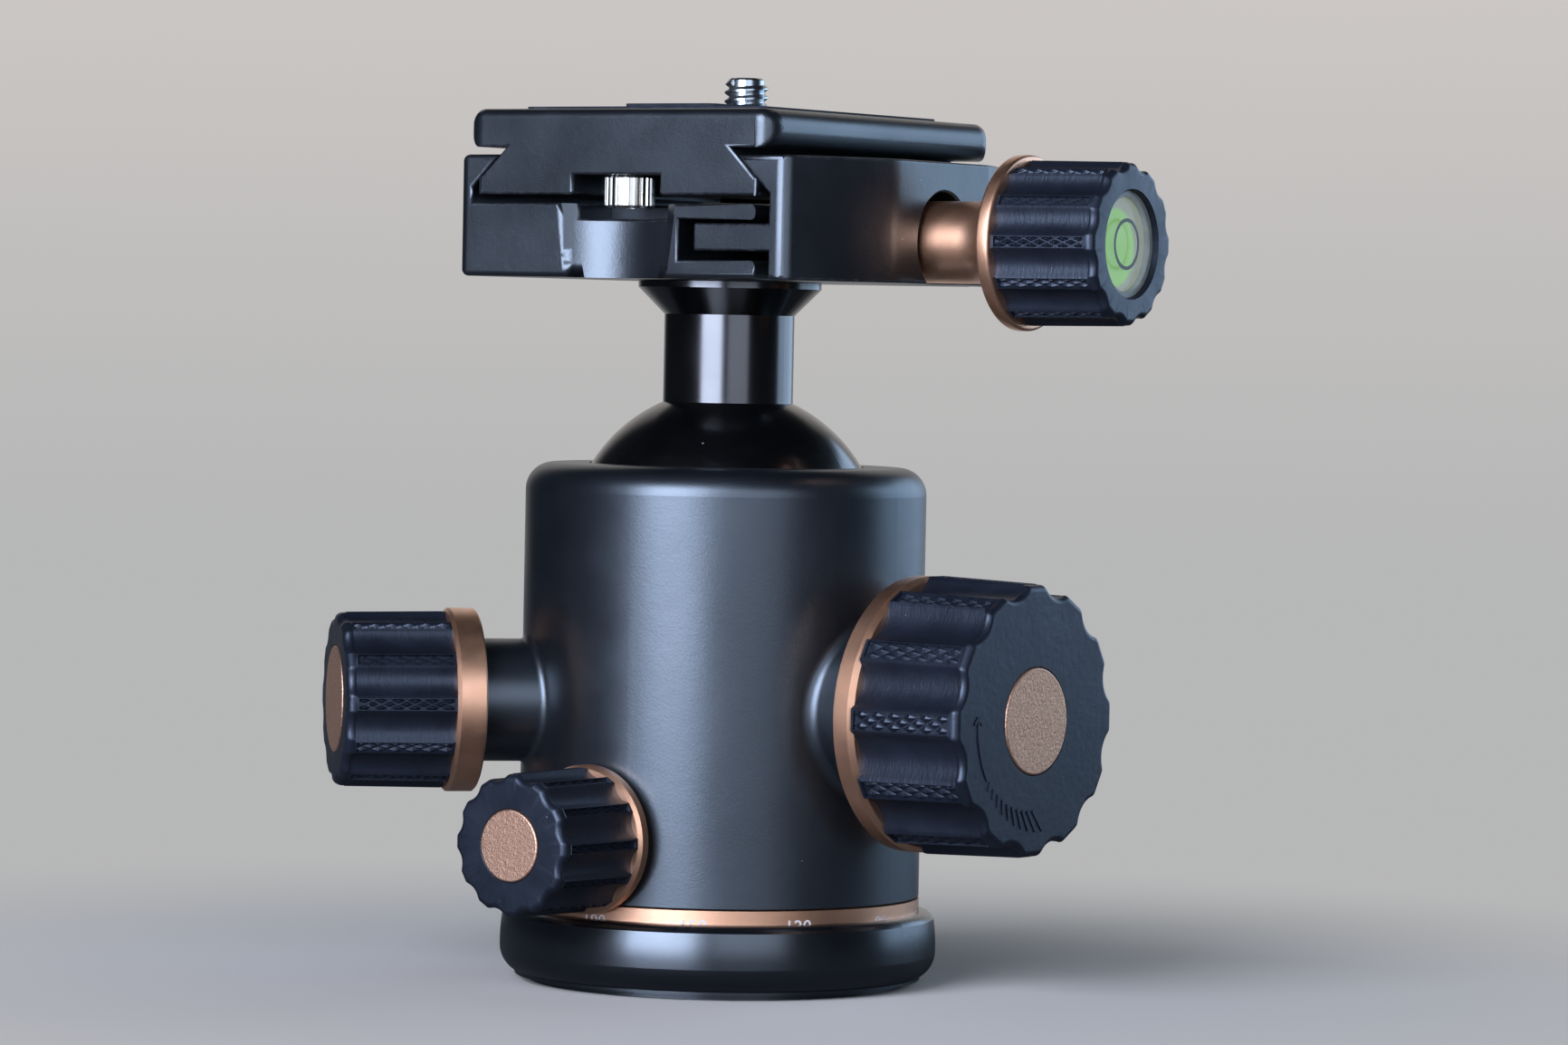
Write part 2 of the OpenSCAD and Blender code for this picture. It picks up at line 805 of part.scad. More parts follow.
module ball_seat() {
    color("#e6e3da")
        difference() {
            translate([0, 0, seat_z])
                cylinder(r = bore_r - seat_gap, h = seat_h - seat_gap);
            translate([0, 0, ball_z])
                sphere(r = cup_sphere_r, $fn = 180);
            drop_notch(seat_gap);
        }
}

// Outer radius of the threaded bushing of a screw.
function bushing_r(screw_r) = screw_r + bushing_wall;

// Threaded bushing in the housing's wall.
module bushing(azimuth, z, screw_r, end) {
    color("#b08d4a")
        radial(azimuth, z)
            translate([0, 0, bushing_at])
                tube(bushing_r(screw_r), screw_r + run_gap, end - bushing_at);
}

module main_bushing() {
    bushing(main_az, lock_z, main_screw_r, main_ring_at - 2 * pass_gap);
}

module tension_bushing() {
    bushing(tension_az, lock_z, tension_screw_r, tension_ring_at - 2 * pass_gap);
}

module pan_bushing() {
    bushing(pan_az, pan_z, pan_screw_r, housing_r - 0.2);
}

module cup_springs() {
    spring_r = 1.6;
    wire_r = 0.3;
    spring_top = cup_under(spring_at_r - spring_r) - pass_gap;
    color("#b9bcc0")
        for (azimuth = spring_azimuths)
            rotate([0, 0, azimuth])
                translate([spring_at_r, 0, floor_top])
                    coil_spring(spring_r, wire_r, spring_top - floor_top, 5);
}

// Height of the brake cup's underside at a radius.
function cup_under(r) = cup_hole_z + (r - cup_hole_r) * tan(cup_slope);

module brake_cup() {
    out_r = bore_r - run_gap;
    color("#b08d4a")
        difference() {
            rotate_extrude()
                polygon([
                    [cup_hole_r, cup_hole_z],
                    [out_r, cup_under(out_r)],
                    [out_r, cup_top_z],
                    [cup_hole_r, cup_top_z]
                ]);
            translate([0, 0, ball_z])
                sphere(r = cup_sphere_r, $fn = 180);
        }
}

// ---- Brake screws and their knobs ----

// Sliding wedge under the brake cup. Its slanted top lifts the cup as it moves in.
module wedge(azimuth, gap) {
    color("#9a9da2")
        difference() {
            rotate([0, 0, azimuth])
                rotate([90, 0, 0])
                    translate([0, 0, -wedge_half])
                        linear_extrude(2 * wedge_half)
                            polygon([
                                [wedge_in, floor_top - wedge_bed + run_gap],
                                [wedge_out, floor_top - wedge_bed + run_gap],
                                [wedge_out, cup_under(wedge_out) - gap],
                                [wedge_in, cup_under(wedge_in) - gap]
                            ]);
            radial(azimuth, lock_z)
                translate([0, 0, wedge_out - nose_len])
                    cylinder(r = nose_r + run_gap, h = nose_len + cut);
        }
}

// Brake screw: a nose that turns in its follower, the thread and the end in the knob.
module brake_screw(azimuth, z, r, start, end, nose) {
    color("#a5a8ad")
        radial(azimuth, z) {
            translate([0, 0, start])
                cylinder(r = r, h = end - start);
            translate([0, 0, start - nose])
                cylinder(r = nose_r, h = nose + cut);
        }
}

module main_wedge() {
    wedge(main_az, run_gap);
}

module tension_wedge() {
    wedge(tension_az, run_gap + cup_drop);
}

module pan_shoe() {
    shoe_r = 3.8;
    socket_len = 2.9;
    color("#b08d4a")
        difference() {
            radial(pan_az, pan_z)
                translate([0, 0, drum_r - 1.5])
                    cylinder(r = shoe_r, h = bore_r - drum_r + 0.6);
            translate([0, 0, drum_z - cut])
                cylinder(r = drum_r + run_gap, h = drum_h + 2 * cut);
            radial(pan_az, pan_z)
                translate([0, 0, bore_r - socket_len])
                    cylinder(r = nose_r + run_gap, h = socket_len + cut);
        }
}

main_core_r = core_radius(main_grip_end_r, main_flute);
main_core_len = main_grip_len - cap_t - 1;
tension_core_r = core_radius(tension_grip_end_r, tension_flute);
tension_core_len = tension_grip_len - cap_t - 1;
pan_core_r = core_radius(pan_grip_end_r, pan_flute);
pan_core_len = pan_grip_len - cap_t - 1;
clamp_core_r = core_radius(clamp_grip_end_r, clamp_flute);
clamp_core_len = clamp_grip_len - vial_h - vial_inset - 0.6;
main_screw_end = main_ring_at + main_ring_t + main_core_len - core_end;
tension_screw_end = tension_ring_at + tension_ring_t + tension_core_len - core_end;
pan_screw_end = pan_ring_at + pan_ring_t + pan_core_len - core_end;

module main_screw() {
    brake_screw(main_az, lock_z, main_screw_r, wedge_out + pass_gap, main_screw_end, nose_len);
}

module tension_screw() {
    brake_screw(
        tension_az, lock_z, tension_screw_r, wedge_out + pass_gap, tension_screw_end, nose_len
    );
}

module pan_screw() {
    brake_screw(pan_az, pan_z, pan_screw_r, bore_r - 0.5, pan_screw_end, 2);
}

module main_ring() {
    color("#c08d70")
        radial(main_az, lock_z)
            translate([0, 0, main_ring_at])
                knob_core(
                    main_ring_r, main_ring_t, 1.4 * ring_chamfer, main_core_r, main_core_len,
                    main_screw_r
                );
}

module tension_ring() {
    color("#c08d70")
        radial(tension_az, lock_z)
            translate([0, 0, tension_ring_at])
                knob_core(
                    tension_ring_r, tension_ring_t, ring_chamfer, tension_core_r, tension_core_len,
                    tension_screw_r
                );
}

module pan_ring() {
    color("#c08d70")
        radial(pan_az, pan_z)
            translate([0, 0, pan_ring_at])
                knob_core(
                    pan_ring_r, pan_ring_t, ring_chamfer, pan_core_r, pan_core_len, pan_screw_r
                );
}

module main_grip() {
    color("#1f2226")
        radial(main_az, lock_z)
            translate([0, 0, main_ring_at + main_ring_t])
                grip(
                    main_grip_r, main_grip_end_r, main_grip_len, main_end_round, main_flute,
                    main_flute_r, main_core_r, main_core_len, main_cap_r, cap_t - cap_proud
                );
}

module tension_grip() {
    color("#1f2226")
        radial(tension_az, lock_z)
            translate([0, 0, tension_ring_at + tension_ring_t])
                grip(
                    tension_grip_r, tension_grip_end_r, tension_grip_len, tension_end_round,
                    tension_flute, tension_flute_r, tension_core_r, tension_core_len,
                    tension_cap_r, cap_t - cap_proud
                );
}

module pan_grip() {
    color("#1f2226")
        radial(pan_az, pan_z)
            translate([0, 0, pan_ring_at + pan_ring_t])
                grip(
                    pan_grip_r, pan_grip_end_r, pan_grip_len, pan_end_round, pan_flute,
                    pan_flute_r, pan_core_r, pan_core_len, pan_cap_r, cap_t - cap_proud
                );
}

module main_cap() {
    color("#b98a6e")
        radial(main_az, lock_z)
            translate([0, 0, main_end - cap_t + cap_proud])
                cap_disc(main_cap_r);
}

module tension_cap() {
    color("#b98a6e")
        radial(tension_az, lock_z)
            translate([0, 0, tension_end - cap_t + cap_proud])
                cap_disc(tension_cap_r);
}

module pan_cap() {
    color("#b98a6e")
        radial(pan_az, pan_z)
            translate([0, 0, pan_end - cap_t + cap_proud])
                cap_disc(pan_cap_r);
}

// ---- Ball and clamp ----

bolt_r = 3;
bolt_len = 24;
bolt_head_r = 5.8;
bolt_sink = 0.2;

module ball() {
    color("#121316")
        difference() {
            union() {
                translate([0, 0, ball_z])
                    sphere(r = ball_r, $fn = 180);
                translate([0, 0, ball_z])
                    cylinder(r = neck_r, h = neck_h + cut);
                translate([0, 0, collar_z])
                    cylinder(r1 = neck_r, r2 = collar_r, h = collar_r - neck_r);
                translate([0, 0, collar_top - collar_edge])
                    cylinder(r = collar_r, h = collar_edge);
            }
            translate([0, 0, clamp_floor_z - bolt_sink - bolt_len - seat_gap])
                cylinder(r = bolt_r + seat_gap, h = far);
        }
}

// Inner half-width of the jaws' 45 degree lips at a height.
function lip_x(z) = dovetail_neck + slab_z - z + run_gap * sqrt(2);

// Section of the clamp base across the plate.
module clamp_section() {
    wall = 2.2;
    edge = 1.2;
    wall_x = clamp_left - wall;
    tip = 0.8;
    difference() {
        union() {
            translate([-clamp_left + edge, clamp_z])
                square([clamp_left - edge + tine_x - tip, clamp_floor]);
            for (span = [[clamp_z, tine_low], [clamp_floor_z - tine_high, tine_high]]) {
                translate([0, span[0] + tip])
                    square([tine_x, span[1] - 2 * tip]);
                for (z = [tip, span[1] - tip])
                    translate([tine_x - tip, span[0] + z])
                        circle(r = tip, $fn = 48);
            }
            translate([-clamp_left, clamp_z + edge])
                square([wall_x, clamp_h - 2 * edge]);
            translate([-clamp_left + edge, clamp_top - edge - cut])
                square([wall_x, edge + cut]);
            for (z = [clamp_z + edge, clamp_top - edge])
                translate([-clamp_left + edge, z])
                    circle(r = edge, $fn = 48);
        }
        polygon([
            [-wall_x, clamp_floor_z],
            [-wall_x, clamp_top - (wall_x - lip_x(clamp_top))],
            [-lip_x(clamp_top), clamp_top],
            [-lip_x(clamp_top + cut), clamp_top + cut],
            [far, clamp_top + cut],
            [far, clamp_floor_z]
        ]);
        translate([slot_x, clamp_z + tine_low])
            square([tine_x - slot_x - tip, clamp_floor - tine_low - tine_high]);
    }
}

// Outline of the clamp base seen from above, with its two outer corners rounded.
module clamp_plan() {
    corner = 1.6;
    translate([-clamp_left + corner, -plate_len / 2])
        square([clamp_left + tine_x, plate_len]);
    translate([-clamp_left, -plate_len / 2 + corner])
        square([clamp_left, plate_len - 2 * corner]);
    for (side = [-1, 1])
        translate([-clamp_left + corner, side * (plate_len / 2 - corner)])
            circle(r = corner, $fn = 48);
}

// Solid with rounded end edges that clamp and jaw are cut to.
module clamp_envelope() {
    rotate([90, 0, 90])
        translate([0, 0, -far])
            linear_extrude(2 * far)
                translate([0, clamp_z + clamp_h / 2])
                    round_rect(plate_len, clamp_h, clamp_edge);
}

// Fixed half of the clamp with its floor, guides and fixed jaw.
module clamp_base() {
    color("#17181b")
        difference() {
            intersection() {
                rotate([90, 0, 0])
                    translate([0, 0, -plate_len / 2])
                        linear_extrude(plate_len)
                            clamp_section();
                translate([0, 0, clamp_z - cut])
                    linear_extrude(clamp_h + 2 * cut)
                        clamp_plan();
                clamp_envelope();
            }
            for (side = [-1, 1]) {
                translate([0, side * (plate_len / 2 + scallop_out), clamp_z - cut])
                    cylinder(r1 = scallop_r - 1, r2 = scallop_r, h = clamp_floor + 2 * cut);
                translate([0, side * (plate_len / 2 - recess_len / 2), clamp_floor_z])
                    cube([2 * recess_half, recess_len + cut, 2 * tine_high], center = true);
            }
            on_clamp_axis()
                cylinder(r = clamp_screw_r + run_gap, h = far);
            translate([0, 0, clamp_z - cut])
                cylinder(r = bolt_r + seat_gap, h = far);
            translate([0, 0, clamp_floor_z - bolt_sink - bolt_head_r + bolt_r])
                cylinder(
                    r1 = bolt_r + seat_gap, r2 = bolt_head_r + seat_gap + bolt_sink,
                    h = bolt_head_r - bolt_r + bolt_sink
                );
        }
}

// Countersunk bolt that holds the clamp on the ball's neck.
module clamp_bolt() {
    cone = bolt_head_r - bolt_r;
    top = clamp_floor_z - bolt_sink;
    color("#a5a8ad")
        difference() {
            union() {
                translate([0, 0, top - bolt_len])
                    cylinder(r = bolt_r, h = bolt_len);
                translate([0, 0, top - cone])
                    cylinder(r1 = bolt_r, r2 = bolt_head_r, h = cone);
            }
            translate([0, 0, top - cone])
                cylinder(r = 2, h = far, $fn = 6);
        }
}

jaw_spring_y = 14;
jaw_spring_r = 1.1;
jaw_spring_wire = 0.25;
jaw_spring_len = 5;

module jaw_springs() {
    color("#c9a35a")
        for (y = [-jaw_spring_y, jaw_spring_y])
            translate([slot_x + seat_gap, y, tongue_z + tongue_t / 2])
                rotate([0, 90, 0])
                    coil_spring(jaw_spring_r, jaw_spring_wire, jaw_spring_len, 5);
}

// Centre of the arc that bows the jaw's slanted side, and its radius.
jaw_side = [jaw_face_x - jaw_corner_x, plate_len / 2 - jaw_face_half];
jaw_chord = norm(jaw_side);
jaw_arc_r = (jaw_chord ^ 2 / 4 + jaw_bow ^ 2) / (2 * jaw_bow);
jaw_arc_out = jaw_arc_r - jaw_bow;
jaw_arc_x = (jaw_face_x + jaw_corner_x) / 2 - jaw_arc_out * jaw_side[1] / jaw_chord;
jaw_arc_y = (plate_len / 2 + jaw_face_half) / 2 - jaw_arc_out * jaw_side[0] / jaw_chord;

// Centre of the rounding between the jaw's end face and its bowed side.
jaw_round = 2.4;
jaw_round_y = plate_len / 2 - jaw_round;
jaw_round_x = jaw_arc_x
    + sqrt((jaw_arc_r - jaw_round) ^ 2 - (jaw_round_y - jaw_arc_y) ^ 2);
jaw_touch = [jaw_round_x - jaw_arc_x, jaw_round_y - jaw_arc_y] / (jaw_arc_r - jaw_round);

// Outline of the jaw seen from above: a flat face, two bowed sides, round corners.
module jaw_plan() {
    difference() {
        intersection() {
            translate([0, -plate_len / 2])
                square([jaw_face_x, plate_len]);
            intersection_for(side = [-1, 1])
                translate([jaw_arc_x, side * jaw_arc_y])
                    circle(r = jaw_arc_r, $fn = 360);
        }
        for (side = [-1, 1])
            polygon([
                [jaw_round_x, side * plate_len / 2],
                [jaw_round_x, side * (plate_len / 2 + cut)],
                [jaw_corner_x + jaw_round, side * (plate_len / 2 + cut)],
                [
                    jaw_round_x + jaw_round * jaw_touch[0],
                    side * (jaw_round_y + jaw_round * jaw_touch[1])
                ]
            ]);
    }
    for (side = [-1, 1])
        translate([jaw_round_x, side * jaw_round_y])
            circle(r = jaw_round, $fn = 48);
}

// Section of the jaw across the plate: body, lip and tongue.
module jaw_section() {
    polygon([
        [jaw_x, clamp_z],
        [far, clamp_z],
        [far, clamp_top],
        [lip_x(clamp_top), clamp_top],
        [jaw_x, clamp_top - (jaw_x - lip_x(clamp_top))]
    ]);
    translate([tongue_x, tongue_z])
        square([jaw_x - tongue_x + cut, tongue_t]);
}

module clamp_jaw() {
    color("#17181b")
        difference() {
            intersection() {
                rotate([90, 0, 0])
                    translate([0, 0, -plate_len / 2])
                        linear_extrude(plate_len)
                            jaw_section();
                translate([0, 0, clamp_z - cut])
                    linear_extrude(clamp_h + 2 * cut)
                        jaw_plan();
                clamp_envelope();
            }
            on_clamp_axis()
                cylinder(r = clamp_screw_r + run_gap, h = far);
            on_clamp_axis()
                translate([0, 0, counterbore_x])
                    cylinder(r = counterbore_r, h = far);
            for (y = [-jaw_spring_y, jaw_spring_y])
                translate([tongue_x - cut, y, tongue_z + tongue_t / 2])
                    rotate([0, 90, 0])
                        cylinder(
                            r = jaw_spring_r + jaw_spring_wire + pass_gap,
                            h = slot_x + jaw_spring_len + pass_gap - tongue_x + cut
                        );
        }
}

// ---- Clamp knob ----

module clamp_screw() {
    clamp_screw_start = bolt_head_r - 0.6;
    color("#a5a8ad")
        on_clamp_axis()
            translate([0, 0, clamp_screw_start])
                cylinder(
                    r = clamp_screw_r,
                    h = clamp_ring_at + clamp_ring_t + clamp_core_len - core_end - clamp_screw_start
                );
}

module clamp_ferrule() {
    start = counterbore_x + pass_gap;
    bell = clamp_ring_at - start;
    rise = clamp_ring_r - ring_chamfer - ferrule_r;
    flare_len = sqrt(flare_r * flare_r - pow(flare_r - rise, 2));
    color("#c08d70")
        on_clamp_axis()
            translate([0, 0, start])
                difference() {
                    union() {
                        rotate_extrude() {
                            square([ferrule_r, bell + cut]);
                            difference() {
                                translate([0, bell - flare_len])
                                    square([ferrule_r + rise, flare_len + cut]);
                                translate([ferrule_r + flare_r, bell - flare_len])
                                    circle(r = flare_r);
                            }
                            translate([0, bell])
                                ring_2d(
                                    clamp_ring_r, clamp_ring_t, ring_chamfer / 2, ring_chamfer
                                );
                        }
                        translate([0, 0, bell])
                            cylinder(r = clamp_core_r, h = clamp_ring_t + clamp_core_len);
                    }
                    translate([0, 0, -cut])
                        cylinder(
                            r = clamp_screw_r + seat_gap,
                            h = bell + clamp_ring_t + clamp_core_len - core_end + cut
                        );
                }
}

module clamp_grip() {
    color("#1f2226")
        on_clamp_axis()
            translate([0, 0, clamp_ring_at + clamp_ring_t])
                grip(
                    clamp_grip_r, clamp_grip_end_r, clamp_grip_len, clamp_end_round, clamp_flute,
                    clamp_flute_r, clamp_core_r, clamp_core_len, vial_r, vial_h + vial_inset
                );
}

vial_wall = 0.8;
lens_t = 0.8;
vial_z = clamp_end - vial_inset - vial_h;

module vial_cup() {
    color("#e9ede4")
        on_clamp_axis()
            translate([0, 0, vial_z])
                difference() {
                    cylinder(r = vial_r, h = vial_h);
                    translate([0, 0, vial_wall])
                        cylinder(r = vial_r - vial_wall, h = far);
                }
}

module vial_liquid() {
    color("#a8dd86")
        on_clamp_axis()
            translate([0, 0, vial_z + vial_wall])
                cylinder(
                    r = vial_r - vial_wall - seat_gap,
                    h = vial_h - vial_wall - lens_t - seat_gap
                );
}

module vial_lens() {
    color([0.9, 0.95, 0.92, 0.4])
        on_clamp_axis()
            translate([0, 0, vial_z + vial_h - lens_t])
                cylinder(r = vial_r - vial_wall - seat_gap, h = lens_t);
}

// ---- Quick-release plate ----

// Section of the slab and its dovetail across the plate.
module plate_section() {
    translate([0, slab_z + slab_t / 2])
        round_rect(plate_w, slab_t, slab_round);
    polygon([
        [-dovetail_neck, slab_z + cut],
        [-dovetail_neck, slab_z],
        [-dovetail_half, slab_z - dovetail_slant],
        [-dovetail_half, dovetail_foot_z],
        [dovetail_half, dovetail_foot_z],
        [dovetail_half, slab_z - dovetail_slant],
        [dovetail_neck, slab_z],
        [dovetail_neck, slab_z + cut]
    ]);
}

module quick_plate() {
    pocket_half = camera_head_r + 1;
    color("#17181b")
        difference() {
            intersection() {
                rotate([90, 0, 0])
                    translate([0, 0, -plate_len / 2])
                        linear_extrude(plate_len)
                            plate_section();
                translate([0, 0, dovetail_foot_z - cut])
                    linear_extrude(far)
                        round_rect(plate_w, plate_len, slab_corner);
                rotate([90, 0, 90])
                    translate([0, 0, -plate_w])
                        linear_extrude(2 * plate_w)
                            plate_end_2d();
            }
            translate([0, 0, slab_top - pad_bed])
                linear_extrude(far)
                    round_rect(pad_w + 2 * seat_gap, pad_len + 2 * seat_gap, pad_corner + seat_gap);
            translate([0, 0, slab_z - cut])
                linear_extrude(far)
                    slot_2d(camera_screw_r + pass_gap, slot_travel);
            translate([0, 0, dovetail_foot_z - cut])
                linear_extrude(head_pocket_top - dovetail_foot_z + cut)
                    slot_2d(pocket_half, slot_travel);
            for (side = [-1, 1]) {
                translate([
                    0, side * (plate_len / 2 - stop_notch_len / 2 + cut / 2), dovetail_foot_z
                ])
                    cube(
                        [2 * stop_notch_half, stop_notch_len + cut, 2 * stop_notch_h],
                        center = true
                    );
                translate([0, side * stop_y, dovetail_foot_z])
                    cylinder(r = stop_screw_r + seat_gap, h = stop_hole_h());
            }
        }
}

// Depth of a stop screw's hole above the dovetail's foot.
function stop_hole_h() = stop_notch_h + stop_screw_len + seat_gap;

// Lengthwise outline of the plate, with its end edges rounded at the top.
module plate_end_2d() {
    half = plate_len / 2;
    translate([-half, dovetail_foot_z - cut])
        square([plate_len, slab_top - slab_end_round - dovetail_foot_z + cut]);
    translate([-half + slab_end_round, dovetail_foot_z - cut])
        square([plate_len - 2 * slab_end_round, slab_top - dovetail_foot_z + cut]);
    for (side = [-1, 1])
        translate([side * (half - slab_end_round), slab_top - slab_end_round])
            circle(r = slab_end_round, $fn = 48);
}

module plate_pad() {
    color("#2a2f36")
        difference() {
            union() {
                translate([0, 0, slab_top - pad_bed])
                    linear_extrude(pad_t)
                        round_rect(pad_w, pad_len, pad_corner);
                translate([0, 0, island_z - cut])
                    linear_extrude(island_t + cut)
                        round_rect(island_w, island_len, 1.5);
            }
            translate([0, 0, slab_z])
                linear_extrude(far)
                    slot_2d(pad_slot_half, slot_travel);
        }
}

module stop_screws() {
    socket_r = 1.5;
    socket_h = 2;
    color("#c8c6bd")
        for (side = [-1, 1])
            translate([0, side * stop_y, stop_head_z])
                difference() {
                    union() {
                        rotate_extrude()
                            round_disc_2d(stop_head_r, stop_head_top() - stop_head_z, 0.4);
                        cylinder(r = stop_screw_r, h = stop_head_top() - stop_head_z + stop_screw_len);
                    }
                    translate([0, 0, -cut])
                        cylinder(r = socket_r, h = socket_h + cut, $fn = 6);
                }
}

// Height of a stop screw's head, where it meets its notch.
function stop_head_top() = dovetail_foot_z + stop_notch_h;

module screw_washer() {
    color("#e6e3da")
        translate([0, camera_screw_y, head_pocket_top - washer_camera_t - run_gap])
            tube(camera_head_r - 1.5, camera_neck_r + run_gap, washer_camera_t);
}

module camera_screw() {
    head_top = head_pocket_top - washer_camera_t - 2 * run_gap;
    tip = 0.5;
    neck = island_z + island_t + 0.1 - head_top;
    shank = slab_top + camera_screw_up - head_top;
    color("#b8c0c8")
        translate([0, camera_screw_y, head_top - camera_head_h])
            difference() {
                union() {
                    rotate_extrude()
                        round_disc_2d(camera_head_r, camera_head_h, 0.5);
                    cylinder(r = camera_neck_r, h = camera_head_h + shank - tip);
                    translate([0, 0, camera_head_h + neck])
                        cylinder(r = camera_screw_r, h = shank - neck - tip);
                    translate([0, 0, camera_head_h + shank - tip])
                        cylinder(r1 = camera_screw_r, r2 = camera_screw_r - tip, h = tip);
                }
                translate([-far / 2, -0.8, -cut])
                    cube([far, 1.6, 1.6 + cut]);
            }
}

base_plate();
scale_ring();
thread_bush();
pan_spindle();
base_screws();
pan_washer();
housing();
bottom_ring();
floor_plate();
floor_circlip();
ball_seat();
main_bushing();
tension_bushing();
pan_bushing();
cup_springs();
brake_cup();
main_wedge();
main_screw();
main_ring();
main_grip();
main_cap();
tension_wedge();
tension_screw();
tension_ring();
tension_grip();
tension_cap();
pan_shoe();
pan_screw();
pan_ring();
pan_grip();
pan_cap();
ball();
clamp_base();
clamp_bolt();
jaw_springs();
clamp_jaw();
clamp_screw();
clamp_ferrule();
clamp_grip();
vial_cup();
vial_liquid();
vial_lens();
quick_plate();
plate_pad();
stop_screws();
screw_washer();
camera_screw();
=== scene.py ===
"""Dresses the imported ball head: paint, rubber, copper, the level and the fine forms."""

import logging
import math
from collections.abc import Callable
from dataclasses import dataclass
from enum import Enum

import bmesh
import bpy
from mathutils import Matrix, Vector


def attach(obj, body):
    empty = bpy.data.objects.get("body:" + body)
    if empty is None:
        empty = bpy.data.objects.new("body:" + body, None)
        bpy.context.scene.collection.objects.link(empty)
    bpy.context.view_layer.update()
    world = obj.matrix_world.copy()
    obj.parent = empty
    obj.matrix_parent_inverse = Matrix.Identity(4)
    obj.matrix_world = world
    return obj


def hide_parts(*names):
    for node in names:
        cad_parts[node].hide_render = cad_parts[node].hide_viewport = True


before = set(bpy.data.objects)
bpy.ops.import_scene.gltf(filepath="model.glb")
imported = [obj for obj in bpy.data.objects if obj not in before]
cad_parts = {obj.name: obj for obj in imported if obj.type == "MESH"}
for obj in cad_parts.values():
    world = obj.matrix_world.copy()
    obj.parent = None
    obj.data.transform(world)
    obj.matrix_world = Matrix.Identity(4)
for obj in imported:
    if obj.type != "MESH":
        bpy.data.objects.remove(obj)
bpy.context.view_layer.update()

LOG = logging.getLogger("ball_head")
MM = 0.001
TURN = 2 * math.pi
QUARTER = math.pi / 2
CLAMP_Z = 99.98  # height of the clamp's underside
KNOB_Z = CLAMP_Z + 5.9  # height of the clamp knob's axis
EDGE_MASK = "edge"  # the mesh attribute that tells a finish where its edges are rubbed and take a painted highlight
MERGE = 1e-5  # distance in millimetres at which a new mesh's corners merge
NODE_MERGE = 1e-3  # and at which a node's loose triangles do
BROAD_FACES = 50  # weight that keeps a broad flat face's own normal

Mesh = bmesh.types.BMesh
Face = bmesh.types.BMFace
Material = bpy.types.Material
Socket = bpy.types.NodeSocket
Triple = tuple[float, float, float]
Pair = tuple[float, float]


# ---------------------------------------------------------------- shader tools


